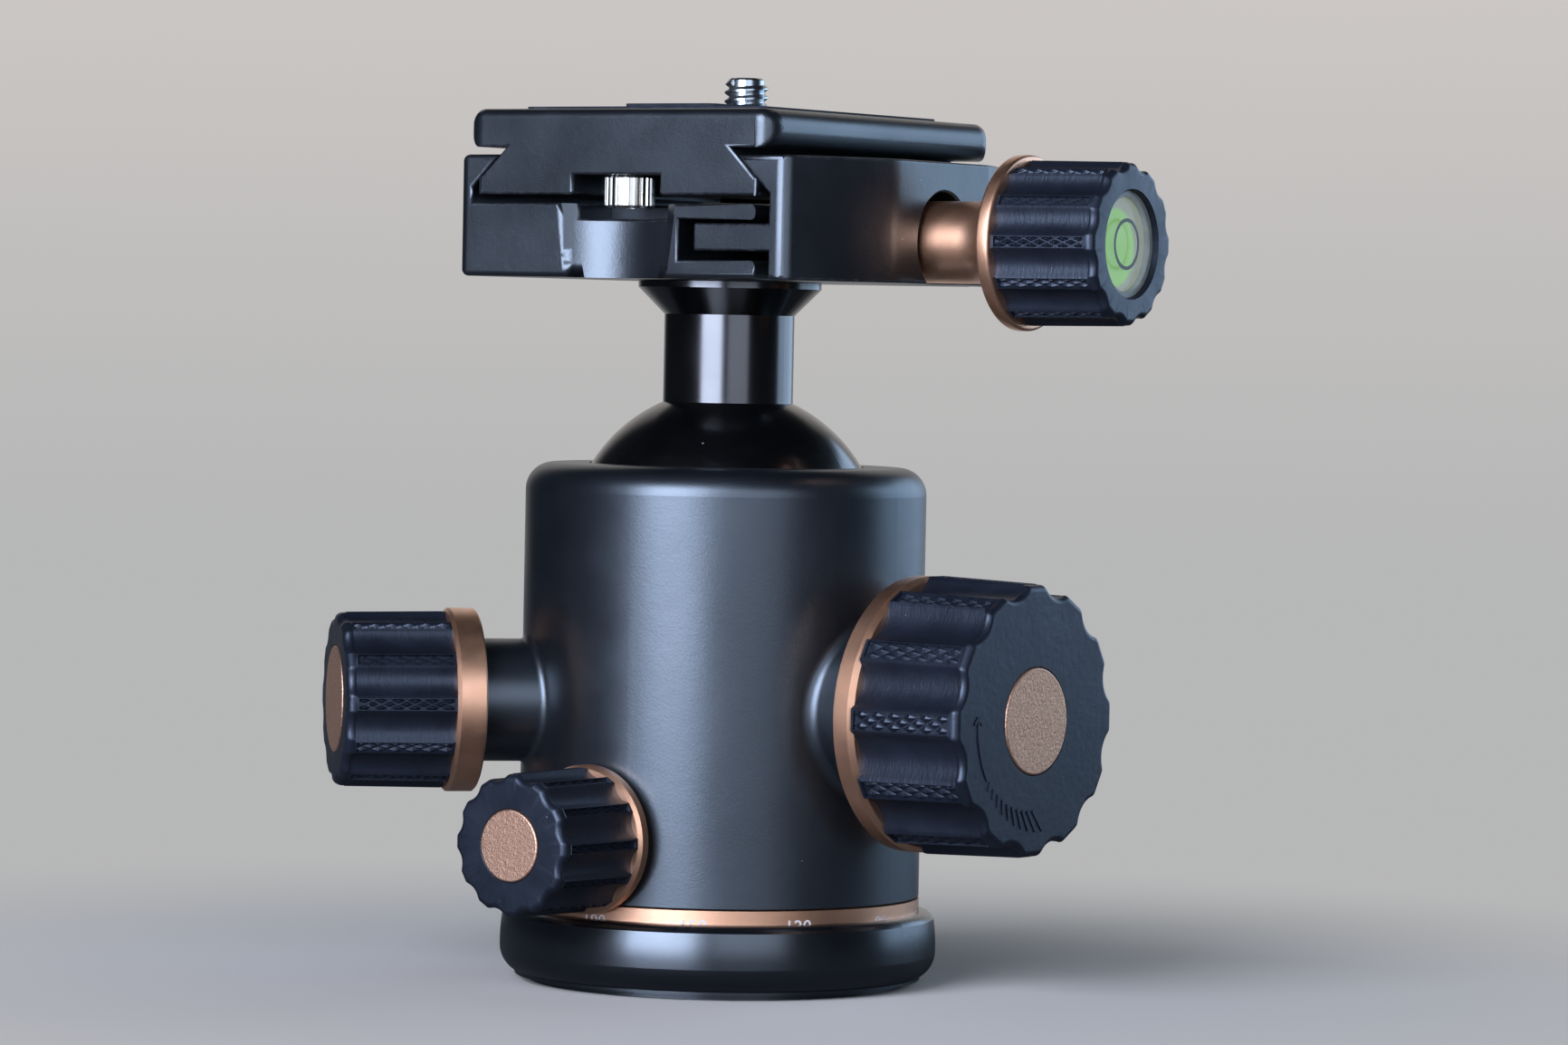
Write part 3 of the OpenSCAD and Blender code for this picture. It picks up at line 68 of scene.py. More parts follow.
class Sketch:
    """Adds nodes to one node tree and joins them."""

    def __init__(self, tree: bpy.types.NodeTree) -> None:
        """Keeps the tree and empties it."""
        self.tree = tree
        self.tree.nodes.clear()

    @classmethod
    def of(cls, owner: Material | bpy.types.World) -> "Sketch":
        """Returns the sketch of a new material's or world's nodes."""
        owner.use_nodes = True
        return cls(owner.node_tree)

    def add(self, kind: str, inputs: dict | None = None, **settings: object) -> bpy.types.Node:
        """Adds a node.

        Args:
            kind: The node's type.
            inputs: Socket name or number to a value or to another node's socket.
            settings: Settings of the node itself.

        Returns:
            The new node.
        """
        node = self.tree.nodes.new(kind)
        for key, value in settings.items():
            setattr(node, key, value)
        for key, value in (inputs or {}).items():
            if isinstance(value, Socket):
                self.tree.links.new(value, node.inputs[key])
            else:
                node.inputs[key].default_value = value
        return node

    def place(self) -> Socket:
        """Returns the object coordinates."""
        return self.add("ShaderNodeTexCoord").outputs["Object"]

    def attribute(self, name: str, output: str) -> Socket:
        """Returns one output of a mesh attribute."""
        return self.add("ShaderNodeAttribute", attribute_name=name).outputs[output]

    def math(self, operation: str, a: Socket | float, b: Socket | float = 0.0) -> Socket:
        """Returns the result of one sum of two values or sockets."""
        return self.add("ShaderNodeMath", {0: a, 1: b}, operation=operation).outputs[0]

    def vector(self, operation: str, a: Socket, b: Triple = (0.0, 0.0, 0.0)) -> Socket:
        """Returns the result of one vector sum, a value for a length or a dot product."""
        outputs = self.add("ShaderNodeVectorMath", {0: a, 1: b}, operation=operation).outputs
        return outputs["Value" if operation in ("LENGTH", "DOT_PRODUCT") else "Vector"]

    def noise(
        self, place: Socket, scale: Socket | float, detail: float, rough: float = 0.5
    ) -> Socket:
        """Returns soft noise.

        Args:
            place: The coordinates to read.
            scale: Patches in a metre.
            detail: Number of finer layers.
            rough: Strength of the finer layers.

        Returns:
            The noise, from 0 to 1.
        """
        return self.add(
            "ShaderNodeTexNoise",
            {"Vector": place, "Scale": scale, "Detail": detail, "Roughness": rough},
        ).outputs[0]

    def spread(
        self, value: Socket, source: Pair = (0.0, 1.0), target: Pair = (0.0, 1.0),
        soft: bool = False,
    ) -> Socket:
        """Maps a value from one range to another.

        Args:
            value: The value.
            source: The range that it is read in.
            target: The range that it is put out in.
            soft: Whether both ends of the range are eased.

        Returns:
            The mapped value.
        """
        return self.add(
            "ShaderNodeMapRange",
            {0: value, 1: source[0], 2: source[1], 3: target[0], 4: target[1]},
            interpolation_type="SMOOTHSTEP" if soft else "LINEAR",
        ).outputs[0]

    def mix(self, share: Socket | float, a: Socket | Triple, b: Socket | Triple) -> Socket:
        """Mixes two colours.

        Args:
            share: Share of the second colour.
            a: The first colour.
            b: The second colour.

        Returns:
            The mixed colour.
        """
        node = self.add("ShaderNodeMix", {"Factor": share}, data_type="RGBA")
        for number, value in ((6, a), (7, b)):
            if isinstance(value, Socket):
                self.tree.links.new(value, node.inputs[number])
            else:
                node.inputs[number].default_value = (*value, 1.0)
        return node.outputs[2]

    def effect(self, group: bpy.types.NodeTree, inputs: dict) -> Socket:
        """Places an effect's group and returns its output."""
        return self.add("ShaderNodeGroup", inputs, node_tree=group).outputs[0]

    def show(self, shader: bpy.types.Node, kind: str = "ShaderNodeOutputMaterial") -> None:
        """Joins a shader to the tree's output."""
        self.add(kind, {"Surface": shader.outputs[0]})


class Effects:
    """The shader effects that several finishes share, each built once as a node group."""

    GRAIN_DETAIL = 3.0
    PEEL_DETAIL = 1.0
    RELIEF_ROUGH = 0.55
    PATCH_DETAIL = 4.0
    PATCH_ROUGH = 0.6
    PATCH_RANGE = (0.32, 0.68)
    SPECK_SIZE = 0.07
    RUB_SCALE = 900.0
    RUB_DETAIL = 5.0
    RUB_ROUGH = 0.7
    RUB_RANGE = (0.42, 0.66)

    def __init__(self) -> None:
        """Builds the groups."""
        self.relief = self._group(
            "surface_relief", ("Grain Scale", "Grain Depth", "Peel Scale", "Peel Depth"), "Height",
            self._relief,
        )
        self.mottle = self._group("soft_patches", ("Scale",), "Share", self._patches)
        self.specks = self._group("dust_specks", ("Scale", "Share"), "Mask", self._specks)
        self.wear_and_highlight = self._group("edge_wear_and_highlight", ("Edge", "Amount"), "Mask", self._wear_and_highlight)

    @staticmethod
    def _group(
        name: str, values: tuple[str, ...], output: str,
        draw: Callable[[Sketch, bpy.types.NodeOutputs], Socket],
    ) -> bpy.types.NodeTree:
        """Builds a group.

        Args:
            name: Name of the group.
            values: Names of its value inputs, which follow its place.
            output: Name of its one value output.
            draw: Draws its nodes from the input node's sockets and returns the result.

        Returns:
            The group.
        """
        tree = bpy.data.node_groups.new(name, "ShaderNodeTree")
        tree.interface.new_socket("Place", in_out="INPUT", socket_type="NodeSocketVector")
        for key in values:
            tree.interface.new_socket(key, in_out="INPUT", socket_type="NodeSocketFloat")
        tree.interface.new_socket(output, in_out="OUTPUT", socket_type="NodeSocketFloat")
        sketch = Sketch(tree)
        result = draw(sketch, sketch.add("NodeGroupInput").outputs)
        sketch.add("NodeGroupOutput", {output: result})
        return tree

    def _relief(self, sketch: Sketch, given: bpy.types.NodeOutputs) -> Socket:
        """Draws fine grain over a broad orange peel.

        Args:
            sketch: The sketch to draw in.
            given: The group's inputs.

        Returns:
            The height in metres.
        """
        parts = []
        for part, detail in (("Grain", self.GRAIN_DETAIL), ("Peel", self.PEEL_DETAIL)):
            noise = sketch.noise(given["Place"], given[f"{part} Scale"], detail, self.RELIEF_ROUGH)
            parts.append(sketch.math("MULTIPLY", noise, given[f"{part} Depth"]))
        return sketch.math("ADD", *parts)

    def _patches(self, sketch: Sketch, given: bpy.types.NodeOutputs) -> Socket:
        """Draws soft patches, from 0 to 1."""
        noise = sketch.noise(given["Place"], given["Scale"], self.PATCH_DETAIL, self.PATCH_ROUGH)
        return sketch.spread(noise, self.PATCH_RANGE)

    def _specks(self, sketch: Sketch, given: bpy.types.NodeOutputs) -> Socket:
        """Draws sparse specks, such as dust and nibs in paint.

        Args:
            sketch: The sketch to draw in.
            given: The group's inputs.

        Returns:
            The specks' mask.
        """
        cells = sketch.add(
            "ShaderNodeTexVoronoi", {"Vector": given["Place"], "Scale": given["Scale"]}
        )
        tone = sketch.add("ShaderNodeSeparateColor", {0: cells.outputs["Color"]})
        size = sketch.math("MULTIPLY", tone.outputs[1], self.SPECK_SIZE)
        near = sketch.math("LESS_THAN", cells.outputs["Distance"], size)
        chosen = sketch.math("LESS_THAN", tone.outputs[0], given["Share"])
        return sketch.math("MULTIPLY", near, chosen)

    def _wear_and_highlight(self, sketch: Sketch, given: bpy.types.NodeOutputs) -> Socket:
        """Breaks up the mesh's edge mask into rubbed stretches, whose lighter colour also paints a
        highlight along the edges.

        Args:
            sketch: The sketch to draw in.
            given: The group's inputs.

        Returns:
            The mask of the rubbed places, which also take a painted highlight.
        """
        noise = sketch.noise(given["Place"], self.RUB_SCALE, self.RUB_DETAIL, self.RUB_ROUGH)
        rubbed = sketch.spread(noise, self.RUB_RANGE)
        strength = sketch.math("MULTIPLY", given["Edge"], given["Amount"])
        return sketch.math("MULTIPLY", rubbed, strength)


# ---------------------------------------------------------------- finishes


class Grain(Enum):
    """How the small relief of a finish runs."""

    EVEN = (1.0, 1.0, 1.0)
    TURNED = (0.06, 0.06, 1.0)
    AROUND_KNOB = (0.22, 0.22, 1.0)


class Source(Enum):
    """The coordinates that a finish reads."""

    OBJECT = "object"
    KNOB = "knob_place"


@dataclass(frozen=True)
class Finish:
    """One surface finish. Lengths are in millimetres, colours are linear.

    Args:
        name: Name of the material.
        slot: The record's material slot; not used.
        colour: Main colour.
        second: Colour of the mottling.
        rough: Lowest and highest roughness.
        metallic: 1 for bare metal.
        specular: Specular level of a non-metal.
        ior: Refractive index of a non-metal's top layer.
        tint: Tint of the reflections.
        coat: Weight of a clear layer over the finish.
        coat_rough: Roughness of that layer.
        coat_ior: Its refractive index.
        grain_size: Size of the finest relief.
        grain_depth: Height of the finest relief.
        peel_size: Size of the broad relief under it.
        peel_depth: Height of the broad relief.
        mottle_size: Size of the colour's and the roughness's patches.
        speck_size: Cell size of dust and nibs.
        speck_share: Share of the cells that hold a speck.
        speck_height: Height of a speck.
        speck_colour: Colour of the specks.
        wear_and_highlight: Strength of the rubbed edges, partly real rubbing and partly a painted
            highlight.
        wear_and_highlight_colour: Lighter colour of the rubbed edges, which also paints a highlight
            along them.
        wear_polish: How much smoother the edge is there.
        grain: How the relief runs.
        source: The coordinates that the finish reads.
    """

    name: str
    slot: str
    colour: Triple
    second: Triple
    rough: Pair = (0.35, 0.45)
    metallic: float = 0.0
    specular: float = 0.5
    ior: float = 1.5
    tint: Triple = (1.0, 1.0, 1.0)
    coat: float = 0.0
    coat_rough: float = 0.34
    coat_ior: float = 1.6
    grain_size: float = 0.25
    grain_depth: float = 0.004
    peel_size: float = 3.0
    peel_depth: float = 0.01
    mottle_size: float = 14.0
    speck_size: float = 2.0
    speck_share: float = 0.0
    speck_height: float = 0.02
    speck_colour: Triple = (0.35, 0.36, 0.38)
    wear_and_highlight: float = 0.0
    wear_and_highlight_colour: Triple = (0.10, 0.10, 0.11)
    wear_polish: float = 0.1
    grain: Grain = Grain.EVEN
    source: Source = Source.OBJECT

    def make(self, effects: Effects) -> Material:
        """Builds the finish's material.

        Args:
            effects: The shared effects.

        Returns:
            The material.
        """
        material = bpy.data.materials.new(self.name)
        sketch = Sketch.of(material)
        knob = self.source is Source.KNOB
        place = sketch.attribute(self.source.value, "Vector") if knob else sketch.place()
        run = sketch.add("ShaderNodeMapping", {"Vector": place, "Scale": self.grain.value})
        height = sketch.effect(effects.relief, {
            "Place": run.outputs[0],
            "Grain Scale": 1 / (self.grain_size * MM), "Grain Depth": self.grain_depth * MM,
            "Peel Scale": 1 / (self.peel_size * MM), "Peel Depth": self.peel_depth * MM,
        })
        patches = sketch.effect(
            effects.mottle, {"Place": place, "Scale": 1 / (self.mottle_size * MM)}
        )
        colour = sketch.mix(patches, self.colour, self.second)
        rough = sketch.spread(patches, target=self.rough)
        # Rubbed edges: a lighter, smoother colour along the edge mask, partly real rubbing and
        # partly a painted highlight.
        if self.wear_and_highlight:
            rubbed_and_highlit = sketch.effect(effects.wear_and_highlight, {
                "Place": place, "Edge": sketch.attribute(EDGE_MASK, "Fac"), "Amount": self.wear_and_highlight,
            })
            colour = sketch.mix(rubbed_and_highlit, colour, self.wear_and_highlight_colour)
            rough = sketch.math("SUBTRACT", rough, sketch.math("MULTIPLY", rubbed_and_highlit, self.wear_polish))
        if self.speck_share:
            speck = sketch.effect(effects.specks, {
                "Place": place, "Scale": 1 / (self.speck_size * MM), "Share": self.speck_share,
            })
            colour = sketch.mix(speck, colour, self.speck_colour)
            height = sketch.math(
                "ADD", height, sketch.math("MULTIPLY", speck, self.speck_height * MM)
            )
        bump = sketch.add("ShaderNodeBump", {"Height": height, "Distance": 1.0, "Strength": 1.0})
        sketch.show(sketch.add("ShaderNodeBsdfPrincipled", {
            "Base Color": colour, "Roughness": rough, "Metallic": self.metallic,
            "Specular IOR Level": self.specular, "IOR": self.ior, "Normal": bump.outputs[0],
            "Specular Tint": (*self.tint, 1.0), "Coat Weight": self.coat,
            "Coat Roughness": self.coat_rough, "Coat IOR": self.coat_ior,
        }))
        return material


@dataclass(frozen=True)
class Liquid:
    """The level's green liquid, with the pale crescent of its air gap and a painted glow. Lengths
    are in metres.

    Args:
        name: Name of the material.
        colour: Main colour.
        second: Colour of the mottling.
        patches: Patches of the mottling in a metre.
        centre: Centre of the liquid as it shows beside the crescent.
        across: Which directions count as away from that centre.
        crescent: Distances from the centre between which the crescent fades in.
        air: The crescent's colour.
        air_share: Strength of the crescent.
        rough: Roughness.
        specular: Specular level.
        glow: Strength of the painted glow that makes the liquid bright, though it is no lamp.
    """

    name: str = "level_liquid"
    colour: Triple = (0.26, 0.53, 0.11)
    second: Triple = (0.30, 0.57, 0.14)
    patches: float = 160.0
    centre: Triple = (0.0, -0.0017, CLAMP_Z * MM + 0.0054)
    across: Triple = (0.0, 1.0, 1.0)
    crescent: Pair = (0.0050, 0.0058)
    air: Triple = (0.31, 0.28, 0.25)
    air_share: float = 0.85
    rough: float = 0.55
    specular: float = 0.2
    glow: float = 0.5

    def make(self, effects: Effects) -> Material:
        """Builds the liquid's material.

        Args:
            effects: The shared effects.

        Returns:
            The material.
        """
        material = bpy.data.materials.new(self.name)
        sketch = Sketch.of(material)
        place = sketch.place()
        patches = sketch.effect(effects.mottle, {"Place": place, "Scale": self.patches})
        green = sketch.mix(patches, self.colour, self.second)
        flat = sketch.vector("MULTIPLY", sketch.vector("SUBTRACT", place, self.centre), self.across)
        rim = sketch.spread(sketch.vector("LENGTH", flat), self.crescent, soft=True)
        colour = sketch.mix(sketch.math("MULTIPLY", rim, self.air_share), green, self.air)
        # Painted light: the liquid glows with its own colour, though it is no lamp.
        sketch.show(sketch.add("ShaderNodeBsdfPrincipled", {
            "Base Color": colour, "Roughness": self.rough, "Specular IOR Level": self.specular,
            "Emission Color": colour, "Emission Strength": self.glow,
        }))
        return material


@dataclass(frozen=True)
class ClearPlastic:
    """The level's clear plastic, with faint scratches.

    Args:
        name: Name of the material.
        colour: Main colour of the reflections.
        second: Colour of the mottling.
        patches: Patches of the mottling in a metre.
        rough: Lowest and highest roughness.
        turn: How fast the reflections grow towards the edge.
        sheen: Their strength at the edge.
        haze: Strength of the scratches.
    """

    name: str = "clear_plastic"
    colour: Triple = (0.90, 0.95, 0.90)
    second: Triple = (0.97, 0.98, 0.96)
    patches: float = 300.0
    rough: Pair = (0.04, 0.12)
    turn: float = 3.0
    sheen: float = 0.2
    haze: float = 0.015

    def make(self, effects: Effects) -> Material:
        """Builds the plastic's material.

        Args:
            effects: The shared effects.

        Returns:
            The material.
        """
        material = bpy.data.materials.new(self.name)
        sketch = Sketch.of(material)
        patches = sketch.effect(effects.mottle, {"Place": sketch.place(), "Scale": self.patches})
        facing = sketch.add("ShaderNodeLayerWeight", {"Blend": 0.5}).outputs["Facing"]
        sheen = sketch.math("MULTIPLY", sketch.math("POWER", facing, self.turn), self.sheen)
        haze = sketch.math("MULTIPLY", patches, self.haze)
        sketch.show(sketch.add("ShaderNodeBsdfPrincipled", {
            "Base Color": sketch.mix(patches, self.colour, self.second),
            "Roughness": sketch.spread(patches, target=self.rough), "Metallic": 1.0,
            "Alpha": sketch.math("ADD", sheen, haze),
        }))
        return material


SATIN_PAINT = Finish(
    "satin_black_paint", "black_paint", (0.0022, 0.0030, 0.0048), (0.0034, 0.0044, 0.0070),
    rough=(0.32, 0.39), specular=1.0, ior=1.66, tint=(0.82, 0.93, 1.0), grain_size=0.35,
    grain_depth=0.0120, peel_size=2.6, peel_depth=0.008, speck_size=3.4, speck_share=0.02,
    wear_and_highlight=0.35,
)
POWDER_PAINT = Finish(
    "powder_black_paint", "black_anodised", (0.0040, 0.0047, 0.0062), (0.0065, 0.0075, 0.0098),
    rough=(0.29, 0.37), specular=1.0, ior=1.63, tint=(0.84, 0.94, 1.0), grain_size=0.22,
    grain_depth=0.020, peel_size=1.1, peel_depth=0.012, speck_size=1.6, speck_share=0.09, wear_and_highlight=0.4,
)
BASE_PAINT = Finish(
    "glazed_black_paint", "black_paint", (0.0018, 0.0022, 0.0032), (0.0028, 0.0034, 0.0048),
    rough=(0.22, 0.28), specular=1.0, ior=1.63, tint=(0.84, 0.94, 1.0), grain_size=0.35,
    grain_depth=0.0022, peel_size=2.6, peel_depth=0.009, speck_size=3.4, speck_share=0.02,
    wear_and_highlight=0.35,
)
GLOSS_BLACK = Finish(
    "polished_black", "black_anodised", (0.0011, 0.0012, 0.0014), (0.0017, 0.0018, 0.0021),
    rough=(0.17, 0.22), specular=1.0, ior=1.6, grain_size=0.3, grain_depth=0.0008, peel_size=2.0,
    peel_depth=0.002, speck_size=3.0, speck_share=0.015, grain=Grain.TURNED,
)
RUBBER = Finish(
    "moulded_rubber", "grip_rubber", (0.0068, 0.0088, 0.0140), (0.0100, 0.0128, 0.0205),
    rough=(0.36, 0.46), specular=0.75, ior=1.54, tint=(0.72, 0.83, 1.0), grain_size=0.26,
    grain_depth=0.032, peel_size=0.6, peel_depth=0.026, mottle_size=7.0, speck_size=1.1,
    speck_share=0.05, grain=Grain.AROUND_KNOB, source=Source.KNOB,
)
COPPER = Finish(
    "blasted_copper", "copper_anodised", (1.0, 0.55, 0.33), (0.92, 0.49, 0.28),
    rough=(0.36, 0.45), metallic=1.0, coat=0.7, grain_size=0.11, grain_depth=0.009, peel_size=0.35,
    peel_depth=0.009, mottle_size=4.0, wear_and_highlight=0.5, wear_and_highlight_colour=(0.92, 0.66, 0.52),
)
PEBBLED_COPPER = Finish(
    "pebbled_copper", "cap_disc", (1.0, 0.64, 0.44), (0.66, 0.36, 0.23),
    rough=(0.42, 0.56), metallic=1.0, grain_size=0.24, grain_depth=0.055, peel_size=0.5,
    peel_depth=0.045, mottle_size=0.32,
)
NICKEL = Finish(
    "bright_nickel", "nickel", (0.66, 0.64, 0.58), (0.58, 0.56, 0.50), rough=(0.14, 0.24),
    metallic=1.0, grain_size=0.2, grain_depth=0.0012, wear_and_highlight=0.4, wear_and_highlight_colour=(0.85, 0.83, 0.78),
)
ZINC = Finish(
    "blue_zinc", "steel", (0.50, 0.56, 0.62), (0.60, 0.62, 0.60), rough=(0.18, 0.32),
    metallic=1.0, grain_size=0.2, grain_depth=0.002, mottle_size=3.0,
)
STEEL = Finish(
    "turned_steel", "steel", (0.46, 0.46, 0.47), (0.38, 0.38, 0.40), rough=(0.22, 0.34),
    metallic=1.0, grain_size=0.25, grain_depth=0.003, grain=Grain.TURNED,
)
BRASS = Finish(
    "turned_brass", "brass", (0.62, 0.45, 0.20), (0.52, 0.36, 0.15), rough=(0.22, 0.36),
    metallic=1.0, grain_size=0.25, grain_depth=0.003, grain=Grain.TURNED,
)
BEARING = Finish(
    "bearing_plastic", "bearing_plastic", (0.72, 0.71, 0.66), (0.66, 0.65, 0.60),
    rough=(0.38, 0.5), grain_size=0.3, grain_depth=0.003,
)
SPRING = Finish(
    "spring_wire", "spring_steel", (0.55, 0.40, 0.24), (0.45, 0.42, 0.38), rough=(0.2, 0.3),
    metallic=1.0, grain_size=0.2, grain_depth=0.001,
)
PAD = Finish(
    "pad_rubber", "pad_rubber", (0.020, 0.024, 0.032), (0.035, 0.042, 0.055),
    rough=(0.62, 0.78), specular=0.4, grain_size=0.45, grain_depth=0.05, peel_size=1.6,
    peel_depth=0.02, mottle_size=2.0, speck_size=1.2, speck_share=0.06,
)
WHITE_INK = Finish(
    "white_ink", "vial_body", (0.80, 0.79, 0.76), (0.70, 0.69, 0.66), rough=(0.5, 0.62),
    grain_size=0.2, grain_depth=0.003, mottle_size=0.8,
)
BLACK_INK = Finish(
    "black_ink", "black_paint", (0.004, 0.005, 0.004), (0.008, 0.009, 0.008),
    rough=(0.3, 0.4), grain_size=0.3, grain_depth=0.001,
)
VIAL_CUP = Finish(
    "vial_housing", "vial_body", (0.40, 0.42, 0.38), (0.30, 0.32, 0.29), rough=(0.3, 0.42),
    grain_size=0.4, grain_depth=0.002, mottle_size=3.0,
)
LEVEL_LIQUID = Liquid()
LEVEL_LENS = ClearPlastic()


# ---------------------------------------------------------------- meshes


def blank() -> Mesh:
    """Makes an empty mesh that can mark its edge faces, where the finish is rubbed and takes a
    painted highlight.

    Returns:
        The mesh.
    """
    bm = bmesh.new()
    bm.faces.layers.float.new(EDGE_MASK)
    return bm


def mark_edges(bm: Mesh, faces: list[Face]) -> None:
    """Marks faces as edge faces.

    Args:
        bm: The mesh.
        faces: Its faces to mark.
    """
    layer = bm.faces.layers.float[EDGE_MASK]
    for face in faces:
        face[layer] = 1.0


def moved(bm: Mesh, aside: float = 0.0, back: float = 0.0, up: float = 0.0) -> None:
    """Moves a whole mesh along X, Y and Z."""
    bm.transform(Matrix.Translation((aside, back, up)))


def closed_by_faces(bm: Mesh) -> None:
    """Closes every opening of a mesh with a flat face."""
    bmesh.ops.holes_fill(bm, edges=[edge for edge in bm.edges if edge.is_boundary])


def in_order(bm: Mesh) -> None:
    """Sorts a mesh's corners and faces by place, so that each run gives the same mesh.

    Args:
        bm: The mesh.
    """
    for parts, place in (
        (bm.verts, lambda vert: tuple(vert.co)),
        (bm.faces, lambda face: tuple(face.calc_center_median())),
    ):
        rank = {part: number for number, part in enumerate(sorted(parts, key=place))}
        parts.sort(key=rank.get)


def quarter(steps: int) -> list[float]:
    """Returns the angles of a quarter turn in even steps, both ends included."""
    return [QUARTER * step / steps for step in range(steps + 1)]


def turned(points: list[Pair], steps: int = 192, closed: bool = True) -> Mesh:
    """Spins an outline about the Z axis.

    Args:
        points: Radius and height of each corner of the outline.
        steps: Number of steps in the turn.
        closed: Whether the last corner joins the first.

    Returns:
        The turned mesh, with outward faces.
    """
    bm = blank()
    corners = [bm.verts.new((radius, 0.0, height)) for radius, height in points]
    ends = corners[1:] + corners[:1] if closed else corners[1:]
    edges = [bm.edges.new(pair) for pair in zip(corners, ends)]
    bmesh.ops.spin(
        bm, geom=corners + edges, cent=(0, 0, 0), axis=(0, 0, 1), angle=TURN, steps=steps,
        use_merge=True,
    )
    bmesh.ops.remove_doubles(bm, verts=bm.verts, dist=MERGE)
    bmesh.ops.delete(bm, geom=[edge for edge in bm.edges if edge.is_wire], context="EDGES")
    bmesh.ops.recalc_face_normals(bm, faces=bm.faces)
    return bm


def on_axis(azimuth: float, height: float) -> Matrix:
    """Places a shape that is drawn along +Z on a radial axis, in millimetres.

    Args:
        azimuth: Direction of the axis about the pan axis, in degrees.
        height: Height of the axis.

    Returns:
        The place.
    """
    return (
        Matrix.Rotation(math.radians(azimuth), 4, "Z")
        @ Matrix.Translation((0, 0, height))
        @ Matrix.Rotation(QUARTER, 4, "Y")
    )


def copied(node: str) -> Mesh:
    """Returns a merged copy of a node's mesh, in millimetres.

    Args:
        node: Name of the node.

    Returns:
        The copy.
    """
    bm = bmesh.new()
    bm.from_mesh(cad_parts[node].data)
    bm.faces.layers.float.new(EDGE_MASK)
    bm.transform(Matrix.Scale(1 / MM, 4))
    bmesh.ops.remove_doubles(bm, verts=bm.verts, dist=NODE_MERGE)
    return bm


class Paintbox:
    """Makes each finish's material once, and dresses the nodes and the new pieces."""

    def __init__(self) -> None:
        """Builds the shared effects."""
        self.effects = Effects()
        self.made: dict[str, Material] = {}

    def get(self, finish: Finish | Liquid | ClearPlastic) -> Material:
        """Returns the material of a finish.

        Args:
            finish: The finish.

        Returns:
            Its one material.
        """
        if finish.name not in self.made:
            self.made[finish.name] = finish.make(self.effects)
        return self.made[finish.name]

    def dress(self, finish: Finish | Liquid | ClearPlastic, *nodes: str) -> None:
        """Gives nodes a finish.

        Args:
            finish: The finish.
            nodes: Names of the nodes.
        """
        for node in nodes:
            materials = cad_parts[node].data.materials
            materials.clear()
            materials.append(self.get(finish))
            LOG.info("%s: %s", node, finish.name)

    def put(
        self, bm: Mesh, name: str, body: str, finish: Finish, *replaces: str,
        place: Matrix | None = None, sharp: float = 35.0, even: bool = False,
    ) -> bpy.types.Object:
        """Turns a mesh into a piece of the part.

        Args:
            bm: The mesh, in millimetres; it is freed.
            name: Name of the piece.
            body: The body that it rides on.
            finish: Its finish.
            replaces: The nodes that it stands for.
            place: Where it goes, in millimetres.
            sharp: Angle in degrees above which an edge shades sharp.
            even: Whether broad flat faces keep their own normals beside the rounded edges.

        Returns:
            The piece.
        """
        in_order(bm)
        bm.transform(Matrix.Scale(MM, 4) @ (place or Matrix.Identity(4)))
        mesh = bpy.data.meshes.new(name)
        bm.to_mesh(mesh)
        bm.free()
        mesh.materials.clear()
        mesh.materials.append(self.get(finish))
        mesh.shade_smooth()
        mesh.set_sharp_from_angle(angle=math.radians(sharp))
        piece = bpy.data.objects.new(name, mesh)
        bpy.context.scene.collection.objects.link(piece)
        if even:
            shading = piece.modifiers.new("even_shading", "WEIGHTED_NORMAL")
            shading.keep_sharp = True
            shading.weight = BROAD_FACES
        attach(piece, body)
        if replaces:
            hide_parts(*replaces)
        LOG.info("%s: %d faces on %s", name, len(mesh.polygons), body)
        return piece


